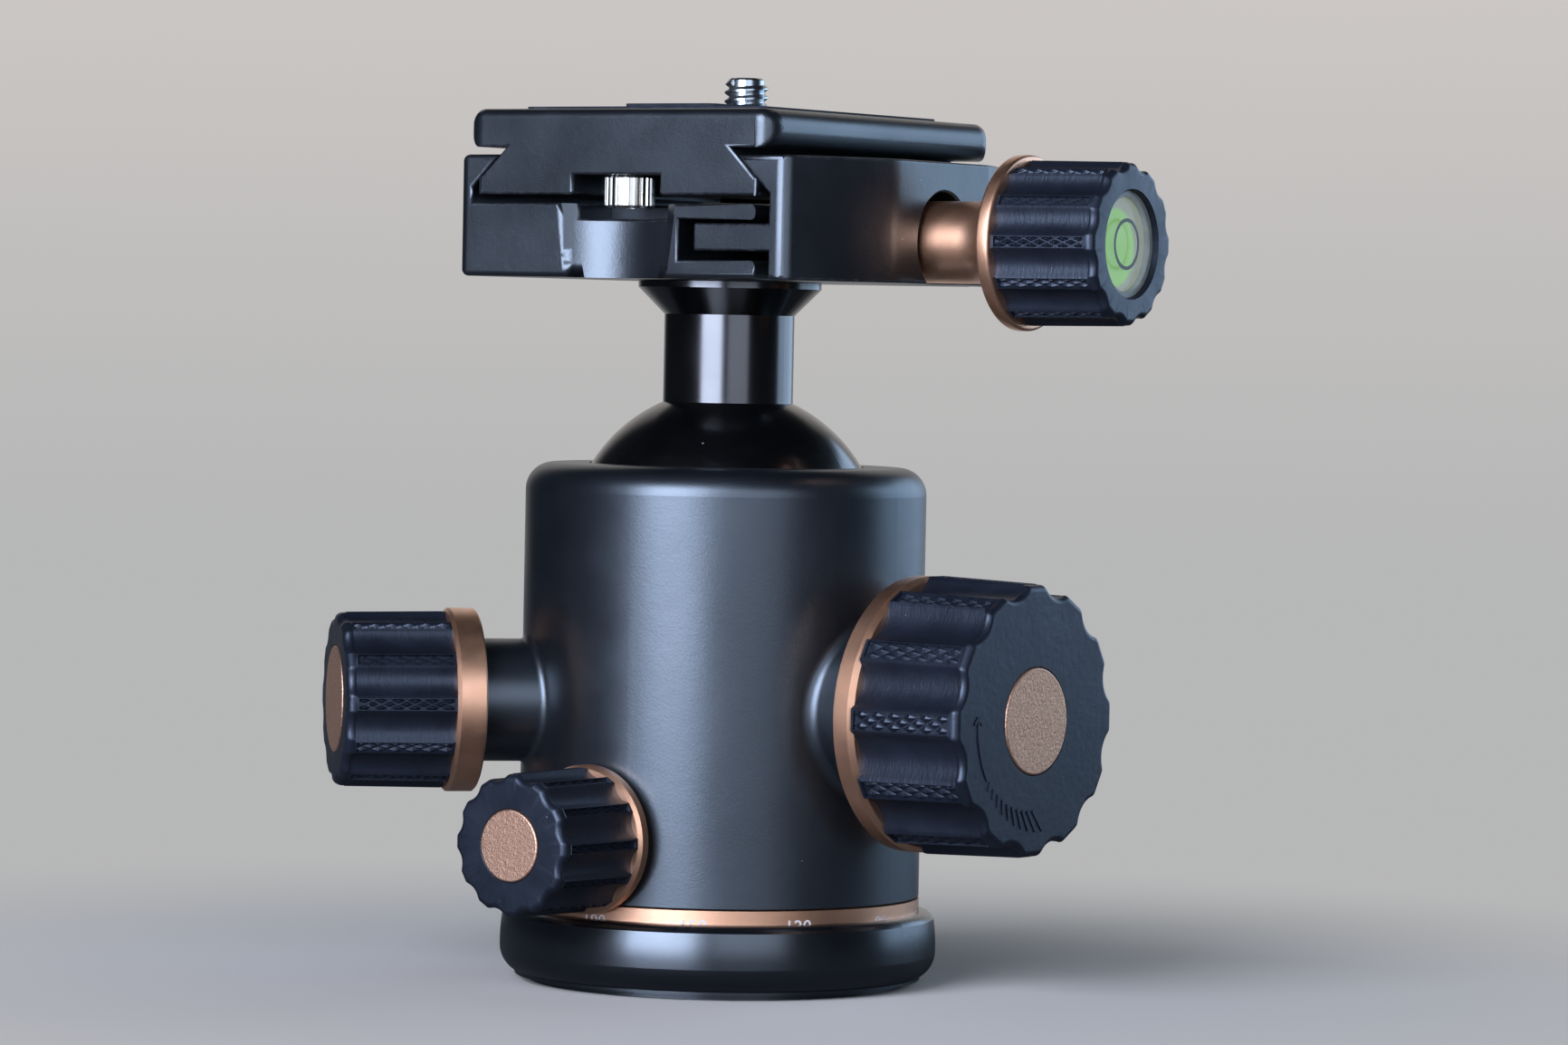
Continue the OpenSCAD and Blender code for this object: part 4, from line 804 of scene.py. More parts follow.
@dataclass(frozen=True)
class Block:
    """A block whose long edges are rounded, and how. Lengths are in millimetres.

    Args:
        half: Half its width and half its length.
        low: Height of its bottom.
        high: Height of its top.
        plan: Rounding of its upright corners in plan.
        side: Rounding of its top and bottom edges along the sides.
        end_top: Rounding of its top edge along the ends.
        end_bottom: Rounding of its bottom edge along the ends.
        guards: How far before the corners the flat faces are cut, so that they shade evenly.
        zone: How far before a corner a face counts as touching it.
        levels: Number of cuts round a corner's top and bottom.
        near: Distance that counts as none.
    """

    half: Pair
    low: float
    high: float
    plan: float
    side: float
    end_top: float
    end_bottom: float
    guards: Pair = (0.12, 0.0)
    zone: float = 0.2
    levels: int = 7
    near: float = 0.01

    def reach(self, share: float, height: float) -> float:
        """Says how far the corner reaches from its centre.

        Args:
            share: 0 towards the side and 1 towards the end.
            height: Height of the place.

        Returns:
            The reach.
        """
        reach = self.plan
        for end, past in (
            (self.end_top, height - self.high), (self.end_bottom, self.low - height)
        ):
            edge = self.side + (end - self.side) * share
            past += edge
            if past > 0:
                rest = math.sqrt(max(0.0, edge * edge - past * past))
                reach = min(reach, self.plan - edge + rest)
        return reach

    def inner(self) -> list[float]:
        """Returns how far out the corners' centres are, across and along."""
        return [side - self.plan for side in self.half]

    def at_corner(self, vert: bmesh.types.BMVert, before: float) -> bool:
        """Says whether a vertex is past both of a corner's lines, less some distance."""
        return all(abs(vert.co[axis]) > inner - before for axis, inner in enumerate(self.inner()))

    def within(self, vert: bmesh.types.BMVert) -> bool:
        """Says whether a vertex lies at the block's height."""
        return self.low - self.near < vert.co.z < self.high + self.near

    @staticmethod
    def cut(bm: Mesh, faces: list[Face], spot: Vector, way: tuple[int, int, int]) -> None:
        """Cuts some faces of a mesh with the plane through a spot, square to a way."""
        geom = {part for face in faces for part in (*face.verts, *face.edges, face)}
        bmesh.ops.bisect_plane(bm, geom=list(geom), plane_co=spot, plane_no=way)

    def carry_round(self, bm: Mesh) -> None:
        """Carries the rounding of the long edges round the upright corners.

        Args:
            bm: The mesh that the block is part of.
        """
        inner = self.inner()
        for back in self.guards:
            for axis, way in ((0, (1, 0, 0)), (1, (0, 1, 0))):
                for sign in (-1, 1):
                    faces = [
                        face for face in bm.faces
                        if any(self.at_corner(vert, self.zone) for vert in face.verts)
                    ]
                    self.cut(bm, faces, Vector(way) * sign * (inner[axis] - back), way)
        for angle in quarter(self.levels - 1):
            rise = self.side * (1 - math.sin(angle))
            for level in (self.low + rise, self.high - rise):
                corner = [
                    face for face in bm.faces
                    if all(self.at_corner(v, self.near) and self.within(v) for v in face.verts)
                ]
                self.cut(bm, corner, Vector((0, 0, level)), (0, 0, 1))
        for vert in bm.verts:
            core = Vector(min(max(vert.co[axis], -inner[axis]), inner[axis]) for axis in (0, 1))
            out = vert.co.xy - core
            if self.within(vert) and out.length > self.near:
                height = min(max(vert.co.z, self.low), self.high)
                reach = self.reach((out.y / out.length) ** 2, height)
                vert.co.xy = core + out * min(1.0, reach / out.length)


@dataclass(frozen=True)
class Rounding:
    """How a node's sharp outer edges are rounded. Lengths are in millimetres.

    Args:
        width: Width of the rounding.
        least: Smallest angle of an edge that is rounded, in degrees.
        segments: Segments of the rounding.
        block: The block whose corners are rounded first.
        shortest: Shortest edge that is rounded beside such a corner.
        flat: Angle in degrees under which two faces are one.
        tiny: Length under which an edge closes up.
    """

    width: float
    least: float = 40.0
    segments: int = 3
    block: Block | None = None
    shortest: float = 0.9
    flat: float = 0.05
    tiny: float = 0.06

    def edges(self, bm: Mesh) -> list[bmesh.types.BMEdge]:
        """Finds the edges to round.

        Args:
            bm: The mesh.

        Returns:
            Its sharp outer edges.
        """
        return [
            edge for edge in bm.edges
            if edge.is_manifold and edge.is_convex
            and edge.calc_face_angle(0.0) > math.radians(self.least)
            and not (self.block and edge.calc_length() < self.shortest)
        ]

    def softened(self, node: str) -> Mesh:
        """Copies a node and rounds the copy.

        Args:
            node: Name of the node.

        Returns:
            The rounded copy.
        """
        bm = copied(node)
        bmesh.ops.dissolve_limit(
            bm, angle_limit=math.radians(self.flat), verts=bm.verts, edges=bm.edges
        )
        bmesh.ops.dissolve_degenerate(bm, edges=bm.edges, dist=self.tiny)
        if self.block:
            self.block.carry_round(bm)
        bm.normal_update()
        made = bmesh.ops.bevel(
            bm, geom=self.edges(bm), offset=self.width, offset_type="OFFSET", affect="EDGES",
            segments=self.segments, profile=0.5, material=-1, clamp_overlap=False,
            harden_normals=False,
        )
        # The rounded faces form the edge mask, where finishes get their rubbed edges and painted
        # highlight.
        mark_edges(bm, made["faces"])
        return bm


# ---------------------------------------------------------------- knobs


@dataclass(frozen=True)
class TurnMarks:
    """The moulded arc arrow and growing strokes on a knob's end. Lengths are in millimetres.

    Args:
        end: Where the knob's end face is along its axis.
        radius: Radius of the arc.
        line: Width of the lines.
        proud: Height above the end face.
        sunk: Depth below it.
        arc: Angles at which the arc starts and ends, in degrees from the right, turning left.
        steps: Number of steps in the arc.
        barbs: How far the arrow's two barbs lean from the radial direction, in degrees.
        barb_length: Length of a barb.
        barb_on: Angle of the barbs past the arc's start.
        barb_aside: How far a barb's middle is from the arc.
        strokes: Angles of the first and the last stroke.
        count: Number of strokes.
        lengths: Lengths of the first and the last stroke.
        lean: How far the strokes lean from the radial direction, in degrees.
    """

    end: float
    radius: float = 13.8
    line: float = 0.34
    proud: float = 0.16
    sunk: float = 0.1
    arc: Pair = (176.0, 214.0)
    steps: int = 24
    barbs: Pair = (50.0, 130.0)
    barb_length: float = 1.3
    barb_on: float = 1.8
    barb_aside: float = 0.45
    strokes: Pair = (218.0, 273.0)
    count: int = 10
    lengths: Pair = (1.2, 3.8)
    lean: float = 38.0

    def bar(self, bm: Mesh, angle: float, radius: float, length: float, lean: float) -> None:
        """Sets a straight raised line.

        Args:
            bm: The mesh that gets it.
            angle: Where it is round the axis, in degrees.
            radius: How far its middle is from the axis.
            length: Its length.
            lean: How far it leans from the radial direction, in degrees.
        """
        place = (
            Matrix.Rotation(math.radians(angle + 90), 4, "Z")
            @ Matrix.Translation((radius, 0, self.end + (self.proud - self.sunk) / 2))
            @ Matrix.Rotation(math.radians(lean), 4, "Z")
            @ Matrix.Diagonal((length, self.line, self.proud + self.sunk, 1))
        )
        bmesh.ops.create_cube(bm, size=1, matrix=place)

    def mesh(self) -> Mesh:
        """Makes the arrow and the strokes.

        Returns:
            Their mesh, along the knob's axis.
        """
        bm = blank()
        first, last = self.arc
        corners = [
            bm.verts.new((self.radius + across * self.line / 2, 0, self.end + height))
            for across, height in (
                (-1, -self.sunk), (1, -self.sunk), (1, self.proud), (-1, self.proud)
            )
        ]
        edges = [bm.edges.new(pair) for pair in zip(corners, corners[1:] + corners[:1])]
        bmesh.ops.rotate(
            bm, verts=corners, cent=(0, 0, 0),
            matrix=Matrix.Rotation(math.radians(first + 90), 3, "Z"),
        )
        bmesh.ops.spin(
            bm, geom=corners + edges, cent=(0, 0, 0), axis=(0, 0, 1),
            angle=math.radians(last - first), steps=self.steps,
        )
        closed_by_faces(bm)
        for lean, way in zip(self.barbs, (1, -1)):
            middle = self.radius + self.barb_aside * way
            self.bar(bm, first + self.barb_on, middle, self.barb_length, lean)
        low, high = self.strokes
        for number in range(self.count):
            share = number / (self.count - 1)
            length = self.lengths[0] + (self.lengths[1] - self.lengths[0]) * share
            self.bar(bm, low + (high - low) * share, self.radius, length, self.lean)
        bmesh.ops.recalc_face_normals(bm, faces=bm.faces)
        return bm


@dataclass(frozen=True)
class Knob:
    """A fluted rubber grip over a copper ring. Lengths are in millimetres.

    Args:
        name: The knob's name, and its nodes' first word.
        azimuth: Direction of its axis about the pan axis, in degrees.
        height: Height of its axis.
        start: Where the grip starts along the axis.
        end: Where the grip ends.
        radius: The grip's radius at its start.
        end_radius: The grip's radius at its end.
        depth: Depth of a flute at the end.
        flute: Radius of a flute.
        crest: Half-angle of the flat crest between two flutes, in degrees.
        round_end: Rounding of the end's edge.
        pocket: Radius of the pocket in the end.
        pocket_depth: Depth of that pocket.
        bore: Radius of the bore over the core.
        bore_end: Where the bore ends along the axis.
        rows: Distance between the knurl's rows.
        pitch: Pitch of the knurl along the axis.
        marked: Whether the end has a moulded arrow and strokes for the way to turn.
        lobes: Number of crests.
        fade: Length over which a flute rises to the end.
        lift: Share of its depth that it rises there.
        blend: Width over which a flute's edge is rounded into the crest.
        foot: Length of the plain band at the start.
        lip: Chamfer of the pocket's edge.
        core: Wall left round the pocket and the bore that the flutes don't reach.
        frames: Thickness and depth of each inset that sinks a panel into a crest.
        miss: Share by which a face's area may miss a panel's.
        tall: Height of a pyramid of the knurl.
        rooted: Depth by which it stands in the panel's floor.
        base: Its base's half length and half width, as shares of the pitch and the row.
        tip: Its tip's width, as a share of the base's.
        columns: Shares of the way from a crest's edge to a flute's middle that get a column.
    """

    name: str
    azimuth: float
    height: float
    start: float
    end: float
    radius: float
    end_radius: float
    depth: float
    flute: float
    crest: float
    round_end: float
    pocket: float
    pocket_depth: float
    bore: float
    bore_end: float
    rows: float
    pitch: float
    marked: bool = False
    lobes: int = 12
    fade: float = 0.4
    lift: float = 0.15
    blend: float = 0.3
    foot: float = 0.25
    lip: float = 0.15
    core: float = 0.5
    frames: tuple[Pair, ...] = ((0.10, 0.09), (0.09, 0.0), (0.06, -0.44))
    miss: float = 0.1
    tall: float = 0.42
    rooted: float = 0.03
    base: Pair = (0.47, 0.93)
    tip: float = 0.12
    columns: tuple[float, ...] = (0, 0.04, 0.08, 0.12, 0.17, 0.25, 0.36, 0.50, 0.66, 0.83, 1)

    def angles(self) -> list[float]:
        """Lists the angle of every column of the grip, from one crest round.

        Returns:
            The angles in radians.
        """
        half = 180 / self.lobes
        side = [self.crest + (half - self.crest) * share for share in self.columns]
        lobe = side + [2 * half - angle for angle in side[-2::-1]]
        return [
            math.radians(angle + number * (2 * half))
            for number in range(self.lobes) for angle in lobe
        ]

    def crest_radius(self, height: float) -> float:
        """Returns the crest's radius at a distance along the axis."""
        share = (height - self.start) / (self.end - self.start)
        return self.radius + (self.end_radius - self.radius) * share

    def inset(self, height: float) -> float:
        """Returns how far the end's rounding has drawn in the wall."""
        past = max(0.0, height - (self.end - self.round_end))
        return self.round_end - math.sqrt(max(0.0, self.round_end**2 - past**2))

    def rise_from(self) -> float:
        """Returns where along the axis the flutes start to rise."""
        return self.end - self.round_end - self.fade

    def wall(self, angle: float, height: float) -> float:
        """Works out the grip's radius at a place.

        Args:
            angle: Angle round the axis, in radians.
            height: Distance along the axis.

        Returns:
            The radius.
        """
        half = math.pi / self.lobes
        off = (angle % (2 * half)) - half
        centre = self.end_radius - self.depth + self.flute
        crest = self.crest_radius(height)
        room = self.flute**2 - (centre * math.sin(off)) ** 2
        if room <= 0:
            return crest - self.inset(height)
        floor = centre * math.cos(off) - math.sqrt(room)
        share = min(1.0, max(0.0, (height - self.rise_from()) / self.fade))
        floor += self.lift * self.depth * share * share * (3 - 2 * share)
        close = max(self.blend - abs(crest - floor), 0.0) / self.blend
        return min(crest, floor) - close * close * self.blend / 4 - self.inset(height)

    def outline(self) -> list[Pair]:
        """Draws the closed outline that is turned into the grip's blank.

        Returns:
            Radius and height of each corner.
        """
        heights = [self.start, self.start + self.foot]
        heights += [self.rise_from() + self.fade * step / 3 for step in range(4)]
        heights += [
            self.end - self.round_end + self.round_end * math.sin(angle) for angle in quarter(5)[1:]
        ]
        wall = [(self.crest_radius(height) - self.inset(height), height) for height in heights]
        floor = self.end - self.pocket_depth
        inner = [
            (self.pocket + self.lip, self.end), (self.pocket, self.end - self.lip),
            (self.pocket, floor), (0, floor), (0, self.bore_end), (self.bore, self.bore_end),
            (self.bore, self.start),
        ]
        return wall + inner

    def grip(self) -> Mesh:
        """Makes the grip with its flutes and its knurled panels.

        Returns:
            The grip's mesh, along the knob's axis.
        """
        angles = self.angles()
        bm = turned(self.outline(), steps=len(angles))
        least = max(self.pocket + self.core, self.bore + self.core)
        step = TURN / len(angles)
        for vert in bm.verts:
            column = round((math.atan2(vert.co.y, vert.co.x) % TURN) / step) % len(angles)
            angle = angles[column]
            radius = math.hypot(vert.co.x, vert.co.y)
            if radius > least:
                radius = self.wall(angle, vert.co.z)
            vert.co.x, vert.co.y = radius * math.cos(angle), radius * math.sin(angle)
        panels = self.panels(bm)
        edges = []
        for thickness, depth in self.frames:
            made = bmesh.ops.inset_individual(
                bm, faces=panels, thickness=thickness, depth=depth, use_even_offset=True
            )
            edges += made["faces"]
        mark_edges(bm, edges)
        for face in panels:
            self.knurl(bm, face)
        return bm

    def panels(self, bm: Mesh) -> list[Face]:
        """Finds the long flat faces on the crests.

        Args:
            bm: The grip.

        Returns:
            The faces.
        """
        length = self.rise_from() - self.start - self.foot
        found = []
        for face in bm.faces:
            out = face.calc_center_median().xy.length
            width = 2 * out * math.tan(math.radians(self.crest))
            missed = abs(face.calc_area() - width * length)
            if out > self.pocket + 1 and missed < self.miss * width * length:
                found.append(face)
        return found

    def knurl(self, bm: Mesh, face: Face) -> None:
        """Sets three staggered rows of small pyramids on a panel's floor.

        Args:
            bm: The grip.
            face: The panel's floor.
        """
        centre = face.calc_center_median()
        heights = [vert.co.z for vert in face.verts]
        low, high = min(heights), max(heights)
        slope = (self.end_radius - self.radius) / (self.end - self.start)
        turn = Matrix.Rotation(math.atan2(centre.y, centre.x), 4, "Z")
        most = round((high - low) / self.pitch)
        size = (self.pitch * self.base[0], self.rows * self.base[1], 1, 1)
        for row in (-1, 0, 1):
            count = most if row else most - 1
            first = (low + high) / 2 - (count - 1) / 2 * self.pitch
            for number in range(count):
                along = first + number * self.pitch
                out = centre.xy.length + slope * (along - centre.z) + self.tall / 2 - self.rooted
                place = (
                    turn
                    @ Matrix.Translation((out, row * self.rows, along))
                    @ Matrix.Rotation(QUARTER, 4, "Y")
                    @ Matrix.Diagonal(size)
                )
                bmesh.ops.create_cone(
                    bm, cap_ends=True, cap_tris=False, segments=4, radius1=1.0, radius2=self.tip,
                    depth=self.tall, matrix=place,
                )

    def build(self, paints: Paintbox) -> None:
        """Makes the grip and the marks on its end.

        Args:
            paints: The finishes.
        """
        bm = self.grip()
        layer = bm.verts.layers.float_vector.new(Source.KNOB.value)
        for vert in bm.verts:
            vert[layer] = vert.co * MM
        body, place = f"{self.name}_knob", on_axis(self.azimuth, self.height)
        paints.put(
            bm, f"{self.name}_rubber", body, RUBBER, f"{self.name}_grip",
            place=place, sharp=38.0, even=True,
        )
        if self.marked:
            marks = TurnMarks(self.end).mesh()
            paints.put(marks, f"{self.name}_turn_marks", body, RUBBER, place=place)


KNOBS = (
    Knob(
        "main", azimuth=-5, height=40, start=37.1, end=54.6, radius=19.4, end_radius=18.8,
        depth=1.35, flute=4.6, crest=4.5, round_end=0.95, pocket=7.45, pocket_depth=1.05,
        bore=16.2, bore_end=52.45, rows=0.78, pitch=2.65, marked=True,
    ),
    Knob(
        "tension", azimuth=-135, height=40, start=40.5, end=56.0, radius=12.5, end_radius=12.2,
        depth=0.8, flute=3.4, crest=4.5, round_end=1.0, pocket=7.55, pocket_depth=1.05,
        bore=10.15, bore_end=53.85, rows=0.50, pitch=2.4,
    ),
    Knob(
        "pan", azimuth=-95, height=21.8, start=31.4, end=47.3, radius=10.1, end_radius=9.8,
        depth=0.7, flute=2.75, crest=4.2, round_end=0.95, pocket=5.05, pocket_depth=1.05,
        bore=7.85, bore_end=45.15, rows=0.38, pitch=2.35,
    ),
    Knob(
        "clamp", azimuth=0, height=KNOB_Z, start=49.4, end=65.3, radius=11.5, end_radius=11.2,
        depth=0.75, flute=3.1, crest=4.6, round_end=0.95, pocket=7.45, pocket_depth=5.1,
        bore=9.2, bore_end=59.65, rows=0.47, pitch=2.47,
    ),
)


# ---------------------------------------------------------------- sub-assemblies


@dataclass(frozen=True)
class Foot:
    """The base with its pan scale and the pan bearing. Lengths are in millimetres.

    Args:
        scale_radius: Radius of the scale ring.
        numeral_height: Height of the numerals.
        capital: Height of a numeral as a share of the lettering's size.
        numeral_z: Height of the foot of the numerals.
        numeral_step: Degrees from one numeral to the next.
        zero_azimuth: Direction of the zero.
        ink: Thickness of the ink to either side of its middle, and how far that stands off.
    """

    scale_radius: float = 28.7
    numeral_height: float = 1.95
    capital: float = 0.72
    numeral_z: float = 9.4
    numeral_step: int = 30
    zero_azimuth: float = 85.5
    ink: float = 0.02

    def bend(self, vert: bmesh.types.BMVert, azimuth: float) -> None:
        """Lays a vertex of flat lettering on the scale ring.

        Args:
            vert: The vertex.
            azimuth: Direction of the numeral, in degrees.
        """
        angle = math.radians(azimuth) + vert.co.x / self.scale_radius
        radius = self.scale_radius + self.ink + vert.co.z
        vert.co = (radius * math.cos(angle), radius * math.sin(angle), self.numeral_z + vert.co.y)

    def numeral(self, text: str) -> bpy.types.Mesh:
        """Makes a flat mesh of a number, thick enough to stay closed.

        Args:
            text: The number.

        Returns:
            The mesh.
        """
        letters = bpy.data.curves.new("numeral", "FONT")
        letters.body = text
        letters.size = self.numeral_height / self.capital
        letters.align_x = "CENTER"
        letters.extrude = self.ink
        holder = bpy.data.objects.new("numeral", letters)
        mesh = bpy.data.meshes.new_from_object(holder)
        bpy.data.objects.remove(holder)
        return mesh

    def marks(self) -> Mesh:
        """Makes the scale's numerals, bent round the ring.

        Returns:
            Their mesh.
        """
        bm = blank()
        for degree in range(0, 360, self.numeral_step):
            known = set(bm.verts)
            bm.from_mesh(self.numeral(str(degree)))
            for vert in set(bm.verts) - known:
                self.bend(vert, self.zero_azimuth - degree)
        bmesh.ops.remove_doubles(bm, verts=bm.verts, dist=MERGE)
        return bm

    def build(self, paints: Paintbox) -> None:
        """Dresses the base and adds the scale's marks.

        Args:
            paints: The finishes.
        """
        paints.dress(BASE_PAINT, "base_plate")
        paints.dress(COPPER, "scale_ring")
        paints.dress(STEEL, "thread_bush", "base_screws", "pan_spindle")
        paints.dress(BEARING, "pan_washer")
        paints.put(self.marks(), "scale_marks", "base", WHITE_INK)


@dataclass(frozen=True)
class Boss:
    """The round that joins a boss to the housing. Lengths are in millimetres.

    Args:
        name: Name of the boss's knob.
        azimuth: Direction of the boss, in degrees.
        height: Height of its axis.
        radius: Its radius.
        fillet: Radius of the round.
        sunk: How far the round reaches into the boss and the housing.
    """

    name: str
    azimuth: float
    height: float
    radius: float
    fillet: float
    sunk: float = 0.5

    def build(self, wall: float, paints: Paintbox) -> None:
        """Makes the round.

        Args:
            wall: Outer radius of the housing.
            paints: The finishes.
        """
        arc = [
            (self.radius + self.fillet * (1 - math.cos(a)), self.fillet * (1 - math.sin(a)))
            for a in quarter(8)
        ]
        inner = self.radius - self.sunk
        foot = [(self.radius + self.fillet, -self.sunk), (inner, -self.sunk), (inner, self.fillet)]
        bm = turned(arc + foot)
        for vert in bm.verts:
            vert.co.z += math.sqrt(wall**2 - vert.co.y**2)
        place = on_axis(self.azimuth, self.height)
        paints.put(bm, f"{self.name}_boss_round", "housing", SATIN_PAINT, place=place)


@dataclass(frozen=True)
class Body:
    """The housing, what it holds and the ball. Lengths are in millimetres.

    Args:
        radius: Outer radius of the housing.
        bosses: The rounds of its two bosses.
    """

    radius: float = 28.65
    bosses: tuple[Boss, ...] = (
        Boss("main", azimuth=-5, height=40, radius=13.0, fillet=1.2),
        Boss("tension", azimuth=-135, height=40, radius=8.7, fillet=0.9),
    )

    def build(self, paints: Paintbox) -> None:
        """Dresses the housing and its mechanism and adds the bosses' rounds.

        Args:
            paints: The finishes.
        """
        paints.dress(SATIN_PAINT, "housing")
        for boss in self.bosses:
            boss.build(self.radius, paints)
        paints.dress(GLOSS_BLACK, "ball")
        paints.dress(BEARING, "ball_seat")
        paints.dress(
            BRASS, "brake_cup", "main_bushing", "tension_bushing", "pan_bushing", "pan_shoe"
        )
        paints.dress(STEEL, "bottom_ring", "floor_plate", "main_wedge", "tension_wedge")
        paints.dress(STEEL, "main_screw", "tension_screw", "pan_screw")
        paints.dress(SPRING, "floor_circlip", "cup_springs")


@dataclass(frozen=True)
class Clamp:
    """The clamp, its moving jaw and its fixings.

    Args:
        base: How the fixed part's edges are rounded.
        jaw: How the moving jaw's edges are rounded.
    """

    base: Rounding = Rounding(
        width=0.4, least=50.0, segments=4, block=Block(
            half=(26.5, 30.0), low=CLAMP_Z, high=CLAMP_Z + 17.1, plan=1.5, side=1.2, end_top=0.8,
            end_bottom=0.8,
        ),
    )
    jaw: Rounding = Rounding(width=0.4, least=50.0, segments=4)

    def build(self, paints: Paintbox) -> None:
        """Makes the clamp's rounded castings and dresses the rest.

        Args:
            paints: The finishes.
        """
        for rounding, node, body in (
            (self.base, "clamp_base", "clamp"), (self.jaw, "clamp_jaw", "jaw")
        ):
            bm = rounding.softened(node)
            paints.put(bm, f"{node}_casting", body, POWDER_PAINT, node, even=True)
        paints.dress(STEEL, "clamp_bolt", "clamp_screw")
        paints.dress(SPRING, "jaw_springs")


@dataclass(frozen=True)
class StopScrew:
    """A knurled stop screw under the plate's end. Lengths are in millimetres.

    Args:
        aside: How far its axis is from the plate's middle.
        bottom: Height of the head's outer face.
        top: Height of the head's inner face.
        end: Height at which its shank ends in the plate.
        radius: Radius of the head.
        edge: Chamfer of the head.
        shank: Radius of the shank.
        socket: Radius of the socket in the head.
        socket_depth: Depth of that socket.
        steps: Columns round the head.
        groove_every: Every which column is a groove of the knurl.
        groove: Depth of a groove.
        near: Distance that counts as none.
    """

    aside: float = 26.4
    bottom: float = CLAMP_Z + 9.7
    top: float = CLAMP_Z + 14.3
    end: float = CLAMP_Z + 20.3
    radius: float = 3.5
    edge: float = 0.4
    shank: float = 1.45
    socket: float = 1.6
    socket_depth: float = 1.5
    steps: int = 96
    groove_every: int = 4
    groove: float = 0.3
    near: float = 0.01

    def mesh(self, side: int) -> Mesh:
        """Makes the screw at one end of the plate.

        Args:
            side: -1 for the near end and 1 for the far end.

        Returns:
            The screw's mesh.
        """
        floor = self.bottom + self.socket_depth
        rim = self.radius - self.edge
        bm = turned([
            (0, floor), (self.socket, floor), (self.socket, self.bottom), (rim, self.bottom),
            (self.radius, self.bottom + self.edge), (self.radius, self.top - self.edge),
            (rim, self.top), (self.shank, self.top), (self.shank, self.end), (0, self.end),
        ], self.steps, closed=False)
        for vert in bm.verts:
            column = round(math.atan2(vert.co.y, vert.co.x) / TURN * self.steps)
            if vert.co.xy.length > self.radius - self.near and column % self.groove_every == 0:
                vert.co.xy *= (self.radius - self.groove) / self.radius
        moved(bm, back=side * self.aside)
        return bm


@dataclass(frozen=True)
class CameraScrew:
    """The camera screw's cut thread. Lengths are in millimetres.

    Args:
        back: How far its axis is from the plate's middle.
        radius: Outer radius of the thread.
        root: Radius of the thread's root.
        low: Height at which the thread starts.
        high: Height at which it ends.
        pitch: Pitch of the thread.
        crest: Shares of the pitch between which the tooth is full.
        steps: Steps of the ridge in a turn.
        core_steps: Steps of the core in a turn.
        tip: Chamfer of the core's tip.
        overlap: How far the ridge is sunk into the core, and the core into the head.
        run_out: Length over which the ridge fades at the tip.
        fade: How much it loses there in a millimetre.
    """

    back: float = 3.4
    radius: float = 3.175
    root: float = 2.55
    low: float = CLAMP_Z + 23.12
    high: float = CLAMP_Z + 29.1
    pitch: float = 1.27
    crest: Pair = (0.42, 0.58)
    steps: int = 40
    core_steps: int = 64
    tip: float = 0.3
    overlap: Pair = (0.1, 1)
    run_out: float = 1.0
    fade: float = 0.7

    def mesh(self) -> Mesh:
        """Makes the whole screw, its head copied from its node.

        Returns:
            The screw's mesh.
        """
        bm = copied("camera_screw")
        moved(bm, back=-self.back)
        bmesh.ops.bisect_plane(
            bm, geom=bm.verts[:] + bm.edges[:] + bm.faces[:], plane_co=(0, 0, self.low),
            plane_no=(0, 0, 1), clear_outer=True,
        )
        closed_by_faces(bm)
        foot = self.low - self.overlap[1]
        core = turned(
            [(0, foot), (self.root, foot), (self.root, self.high - self.tip),
             (self.root - self.tip, self.high), (0, self.high)],
            self.core_steps, closed=False,
        )
        for extra in (core, self.ridge()):
            mesh = bpy.data.meshes.new("part")
            extra.to_mesh(mesh)
            extra.free()
            bm.from_mesh(mesh)
            bpy.data.meshes.remove(mesh)
        moved(bm, back=self.back)
        return bm

    def ridge(self) -> Mesh:
        """Makes the thread's ridge, chamfered at its end.

        Returns:
            The ridge's mesh.
        """
        bm = blank()
        root = self.root - self.overlap[0]
        tooth = [(root, 0), (self.radius, self.crest[0]), (self.radius, self.crest[1]), (root, 1)]
        corners = [
            bm.verts.new((radius, 0, self.low + share * self.pitch)) for radius, share in tooth
        ]
        edges = [bm.edges.new(pair) for pair in zip(corners, corners[1:] + corners[:1])]
        turns = (self.high - self.low) / self.pitch - 1
        count = int(self.steps * turns)
        bmesh.ops.spin(
            bm, geom=corners + edges, cent=(0, 0, 0), axis=(0, 0, 1),
            angle=TURN * count / self.steps, steps=count, dvec=(0, 0, self.pitch / self.steps),
        )
        closed_by_faces(bm)
        bmesh.ops.recalc_face_normals(bm, faces=bm.faces)
        for vert in bm.verts:
            past = max(0.0, vert.co.z - self.high + self.run_out)
            most = self.radius - self.fade * past
            if vert.co.xy.length > most:
                vert.co.xy *= most / vert.co.xy.length
        return bm


